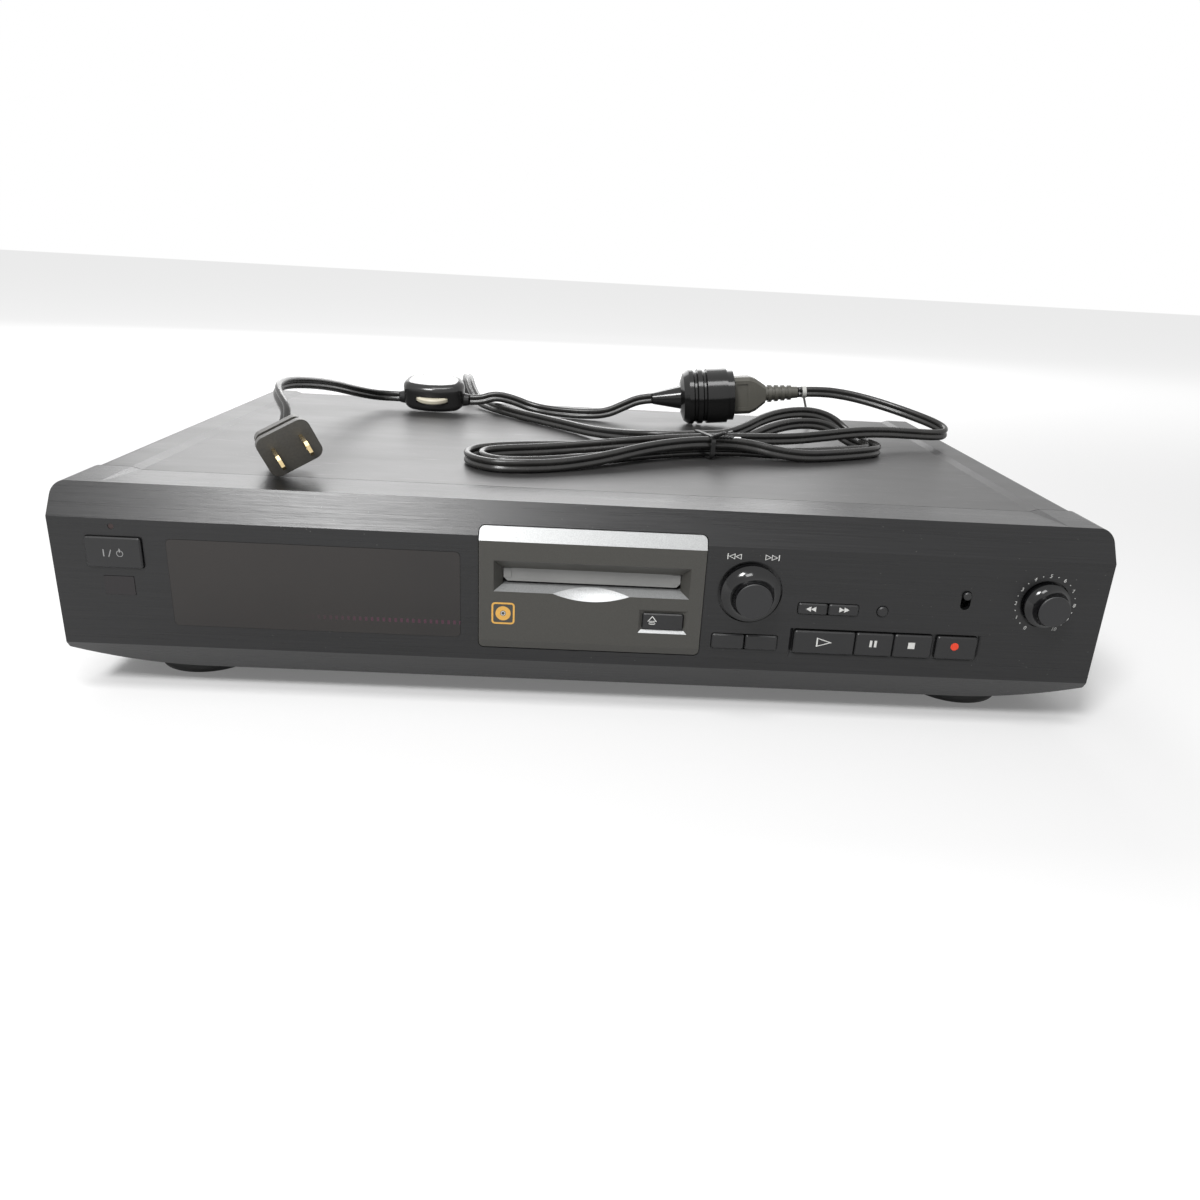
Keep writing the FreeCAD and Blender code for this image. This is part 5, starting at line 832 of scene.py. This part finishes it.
def stamp(shape, x, z, width, height, face_y, look, turn=0.0):
    """Turns a flat shape to face the front, at its size and place, as a thin skin."""
    spots = [v.co for v in shape.data.vertices]
    low = [min(s[i] for s in spots) for i in (0, 1)]
    high = [max(s[i] for s in spots) for i in (0, 1)]
    centre = Matrix.Translation((-(low[0] + high[0]) / 2, -(low[1] + high[1]) / 2, 0))
    spin = Matrix.Rotation(turn, 4, "Z")
    wide, tall = (high[i] - low[i] for i in (0, 1))
    size = Matrix.Diagonal((width / wide * MM, height / tall * MM, 1, 1))
    upright = Matrix.Rotation(math.pi / 2, 4, "X")
    spot = Matrix.Translation(at(x, face_y - PRINT_LIFT, z))
    shape.data.transform(spot @ upright @ spin @ size @ centre)
    shape.data.materials.clear()
    shape.data.materials.append(look)
    return shape


def polygon(sides, turn=0.0):
    bpy.ops.object.select_all(action="DESELECT")
    bpy.ops.mesh.primitive_circle_add(
        vertices=sides, radius=1.0, fill_type="NGON", rotation=(0, 0, turn)
    )
    bpy.ops.object.transform_apply(location=False, rotation=True, scale=False)
    return bpy.context.object


def outline(sides, turn, share):
    """A polygon with its middle taken out."""
    piece = polygon(sides, turn)
    bpy.ops.object.mode_set(mode="EDIT")
    bpy.ops.mesh.select_all(action="SELECT")
    bpy.ops.mesh.inset(thickness=share)
    bpy.ops.mesh.delete(type="FACE")
    bpy.ops.object.mode_set(mode="OBJECT")
    return piece


def rounded_frame(share):
    """A square with rounded corners and its middle taken out."""
    piece = polygon(4, LEVEL_SIDES)
    bpy.ops.object.mode_set(mode="EDIT")
    bpy.ops.mesh.select_all(action="SELECT")
    bpy.ops.mesh.bevel(offset=0.22, segments=4, affect="VERTICES")
    bpy.ops.mesh.select_all(action="SELECT")
    bpy.ops.mesh.inset(thickness=share)
    bpy.ops.mesh.delete(type="FACE")
    bpy.ops.object.mode_set(mode="OBJECT")
    return piece


def joined(name, pieces, body):
    bpy.ops.object.select_all(action="DESELECT")
    for piece in pieces:
        piece.select_set(True)
    bpy.context.view_layer.objects.active = pieces[0]
    if len(pieces) > 1:
        bpy.ops.object.join()
    whole = bpy.context.object
    whole.name = name
    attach(whole, body)
    return whole


def arrow(x, z, width, height, face, way, look):
    return stamp(polygon(3, way), x, z, width, height, face, look)


def bar(x, z, width, height, face, look, turn=0.0):
    return stamp(polygon(4, LEVEL_SIDES), x, z, width, height, face, look, turn)


def prints():
    """Symbols on the keys and the panel, a number scale and a plain disc mark."""
    white = plain_print("white_print", (0.7, 0.7, 0.68))
    faded = plain_print("grey_print", (0.3, 0.3, 0.3))
    red = plain_print("red_print", (0.85, 0.07, 0.03))
    amber = plain_print("amber_print", (0.75, 0.42, 0.1))
    play = stamp(outline(3, RIGHT, 0.14), 99.3, 37.75, 6.6, 4.2, KEY_FACE, white)
    joined("play_symbol", [play], "play_button")
    pause = [bar(120.0 + dx, 38.0, 1.05, 3.0, KEY_FACE, white) for dx in (-0.97, 0.97)]
    joined("pause_symbol", pause, "pause_button")
    joined("stop_symbol", [bar(136.25, 37.9, 2.85, 2.85, KEY_FACE, white)], "stop_button")
    record = stamp(polygon(28), 154.6, 38.3, 3.4, 3.4, KEY_FACE, red)
    joined("record_symbol", [record], "record_button")
    rewind = [arrow(91.9 + dx, 52.4, 2.15, 2.3, KEY_FACE, LEFT, white) for dx in (-1.05, 1.05)]
    joined("rewind_symbol", rewind, "rewind_button")
    forward = [arrow(105.8 + dx, 52.6, 2.15, 2.3, KEY_FACE, RIGHT, white) for dx in (-1.05, 1.05)]
    joined("forward_symbol", forward, "forward_button")
    eject = [
        stamp(outline(3, 0.0, 0.16), 26.6, 45.1, 4.0, 2.5, KEY_FACE, white),
        *[bar(26.6, 43.0 + dz, 2.7, 0.3, KEY_FACE, white) for dz in (0.35, -0.35)],
        *[bar(26.6 + dx, 43.0, 0.3, 0.9, KEY_FACE, white) for dx in (-1.2, 1.2)],
    ]
    joined("eject_symbol", eject, "eject_button")
    power = [
        bar(-193.65, 63.5, 0.45, 2.9, POWER_FACE, faded),
        bar(-191.2, 63.4, 0.4, 3.2, POWER_FACE, faded, -0.35),
        stamp(outline(24, 0.0, 0.2), -187.3, 63.4, 2.7, 2.7, POWER_FACE, faded),
        bar(-187.3, 64.7, 0.45, 1.6, POWER_FACE - 0.02, faded),
    ]
    joined("power_symbol", power, "power_button")
    skips = [
        bar(55.5, 73.4, 0.4, 2.5, 0.0, white), bar(76.4, 73.5, 0.4, 2.5, 0.0, white),
    ]
    for way, x, z in ((LEFT, 57.2, 73.4), (RIGHT, 72.1, 73.5)):
        for dx in (0, 2.6):
            skips.append(stamp(outline(3, way, 0.16), x + dx, z, 2.6, 2.5, 0.0, white))
    joined("skip_symbols", skips, "deck")
    joined("level_scale", dial(white), "deck")
    pointer = bar(194.3, 56.8, 1.5, 0.6, LEVEL_FACE, red, math.radians(-20))
    joined("level_pointer", [pointer], "level_knob")
    mark = [
        stamp(rounded_frame(0.11), -34.9, 44.8, 9.5, 9.5, BEZEL_FACE, amber),
        stamp(outline(32, 0.0, 0.62), -34.9, 44.8, 6.2, 6.2, BEZEL_FACE, amber),
        stamp(outline(24, 0.0, 0.3), -34.9, 44.8, 1.9, 1.9, BEZEL_FACE - 0.01, white),
    ]
    joined("disc_mark", mark, "deck")


def on_dial(number):
    """The place of a number on the scale, or of a point between two."""
    angle = math.radians(DIAL_START + DIAL_STEP * number)
    x = DIAL_CENTRE[0] + DIAL_RADIUS * math.sin(angle)
    return x, DIAL_CENTRE[1] + DIAL_RADIUS * math.cos(angle)


def dial(look):
    """Numbers 0 to 10 round the level knob, with a dot halfway between each pair."""
    marks = []
    for number in range(11):
        bpy.ops.object.select_all(action="DESELECT")
        bpy.ops.object.text_add(location=(0, 0, 0))
        bpy.context.object.data.body = str(number)
        bpy.context.object.data.shear = DIAL_SLANT
        bpy.ops.object.convert(target="MESH")
        wide = ODD_WIDTHS.get(number, DIGIT_WIDTH)
        digit = bpy.context.object
        marks.append(stamp(digit, *on_dial(number), wide, DIGIT_HEIGHT, 0.0, look))
        if number < 10:
            dot = polygon(10)
            marks.append(stamp(dot, *on_dial(number + 0.5), DIAL_DOT, DIAL_DOT, 0.0, look))
    return marks


# Materials of the CAD nodes

def dress(names, look):
    for name in names:
        NODES[name].material_slots[0].material = look


def dress_nodes():
    dress(["front_panel"], brushed_panel())
    dress(["top_cover"], cover_paint())
    dress(["display_window"], smoked_window())
    dress(["slot_bezel"], flecked_escutcheon())
    dress(["slot_lid"], satin_plastic("lid_grey", (0.2, 0.2, 0.195), 0.38))
    infrared = satin_plastic("infrared_window", (0.006, 0.004, 0.005), 0.12, 0.0)
    dress(["remote_window"], infrared)
    dress(["standby_lamp"], satin_plastic("unlit_lamp", (0.02, 0.008, 0.007), 0.25, 0.0))
    keys = [name for name in NODES if name.endswith("_button")] + ["input_lever"]
    dress(keys, satin_plastic("key_black", (0.008, 0.008, 0.0085), 0.34))
    dress(["jog_knob"], two_finish_knob("jog_gloss", at(0, -11.2, 0).y))
    dress(["level_knob"], two_finish_knob("level_gloss", at(0, -8.7, 0).y))
    dress(["chassis"], painted_chassis())
    steel = ["mechanism_base", "disc_holder", "guide_rods", "jog_shaft", "level_shaft"]
    dress(steel, plated_steel())
    castings = ["magnetic_head", "optical_pickup", "drive_motors", "spindle_motor"]
    dress(castings, polished_metal("cast_zinc", (0.6, 0.6, 0.6)))
    dress(["rear_panel"], satin_plastic("rear_paint", (0.012, 0.012, 0.012), 0.42, 0.2))
    foot_plastic = satin_plastic("foot_plastic", (0.01, 0.01, 0.01), 0.45, 0.2)
    dress(["feet", "cord_bushing"], foot_plastic)
    controls = ["jog_encoder", "level_control", "input_switch", "tact_switches"]
    part_black = satin_plastic("part_black", (0.012, 0.012, 0.012), 0.4)
    dress(["optical_sockets", "turntable"] + controls, part_black)
    dress(["case_screws"], polished_metal("black_screw", (0.06, 0.06, 0.06), 0.3))
    dress(["line_jacks"], phono_socket_finish())
    dress(["mains_transformer"], satin_plastic("varnished_core", (0.09, 0.07, 0.05), 0.4))
    dress(["main_board", "front_boards"], circuit_board())
    dress(["display_tube"], satin_plastic("tube_glass", (0.03, 0.035, 0.04), 0.08, 0.0))
    acetal = satin_plastic("gear_acetal", (0.62, 0.6, 0.55), 0.4)
    dress(["loading_slider", "loading_gear", "sled_gear"], acetal)
    glossy_socket = satin_plastic("glossy_socket", (0.008, 0.008, 0.008), 0.12, 0.0)
    dress(["lead_socket"], glossy_socket)
    dress(["flat_plug"], satin_plastic("moulded_plug", (0.085, 0.082, 0.07), 0.36))
    switch_shell = satin_plastic("switch_shell", (0.02, 0.02, 0.02), 0.13, 0.05)
    dress(["inline_switch"], switch_shell)
    dress(["end_plug"], bladed_plug())
    dress(["switch_wheel"], satin_plastic("cream_wheel", (0.62, 0.58, 0.46), 0.4))
    dress(["cord_ties"], tie_finish())


CORD_LOOK = cord_vinyl()
TIE_LOOK = satin_plastic("tie_black", (0.02, 0.02, 0.02), 0.25)
TIP_LOOK = polished_metal("tie_tip", (0.8, 0.8, 0.8))

# Each lamp's place and the point it is aimed at, its size and its power in watts
LAMPS = {
    "overhead_softbox": ((-0.05, -0.55, 1.28), (0, 0, 0.05), (0.5, 0.4), 6),
    "front_softbox": ((-0.435, -0.957, 1.03), (-0.12, -0.12, 0.08), (0.34, 0.34), 13),
    "back_softbox": ((-0.2, 1.3, 0.65), (0, 0, 0.08), (1.4, 0.8), 7),
    "back_lamp": ((-0.3, 1.0, 0.95), (0, 0, 0.08), (0.45, 0.3), 3.5),
}

camera()
white_surround()
floor()
for name, setting in LAMPS.items():
    area_light(name, *setting)
dress_nodes()
cords()
tie_ends()
prints()

scene = bpy.context.scene
scene.view_settings.view_transform = "Standard"
bpy.context.view_layer.update()
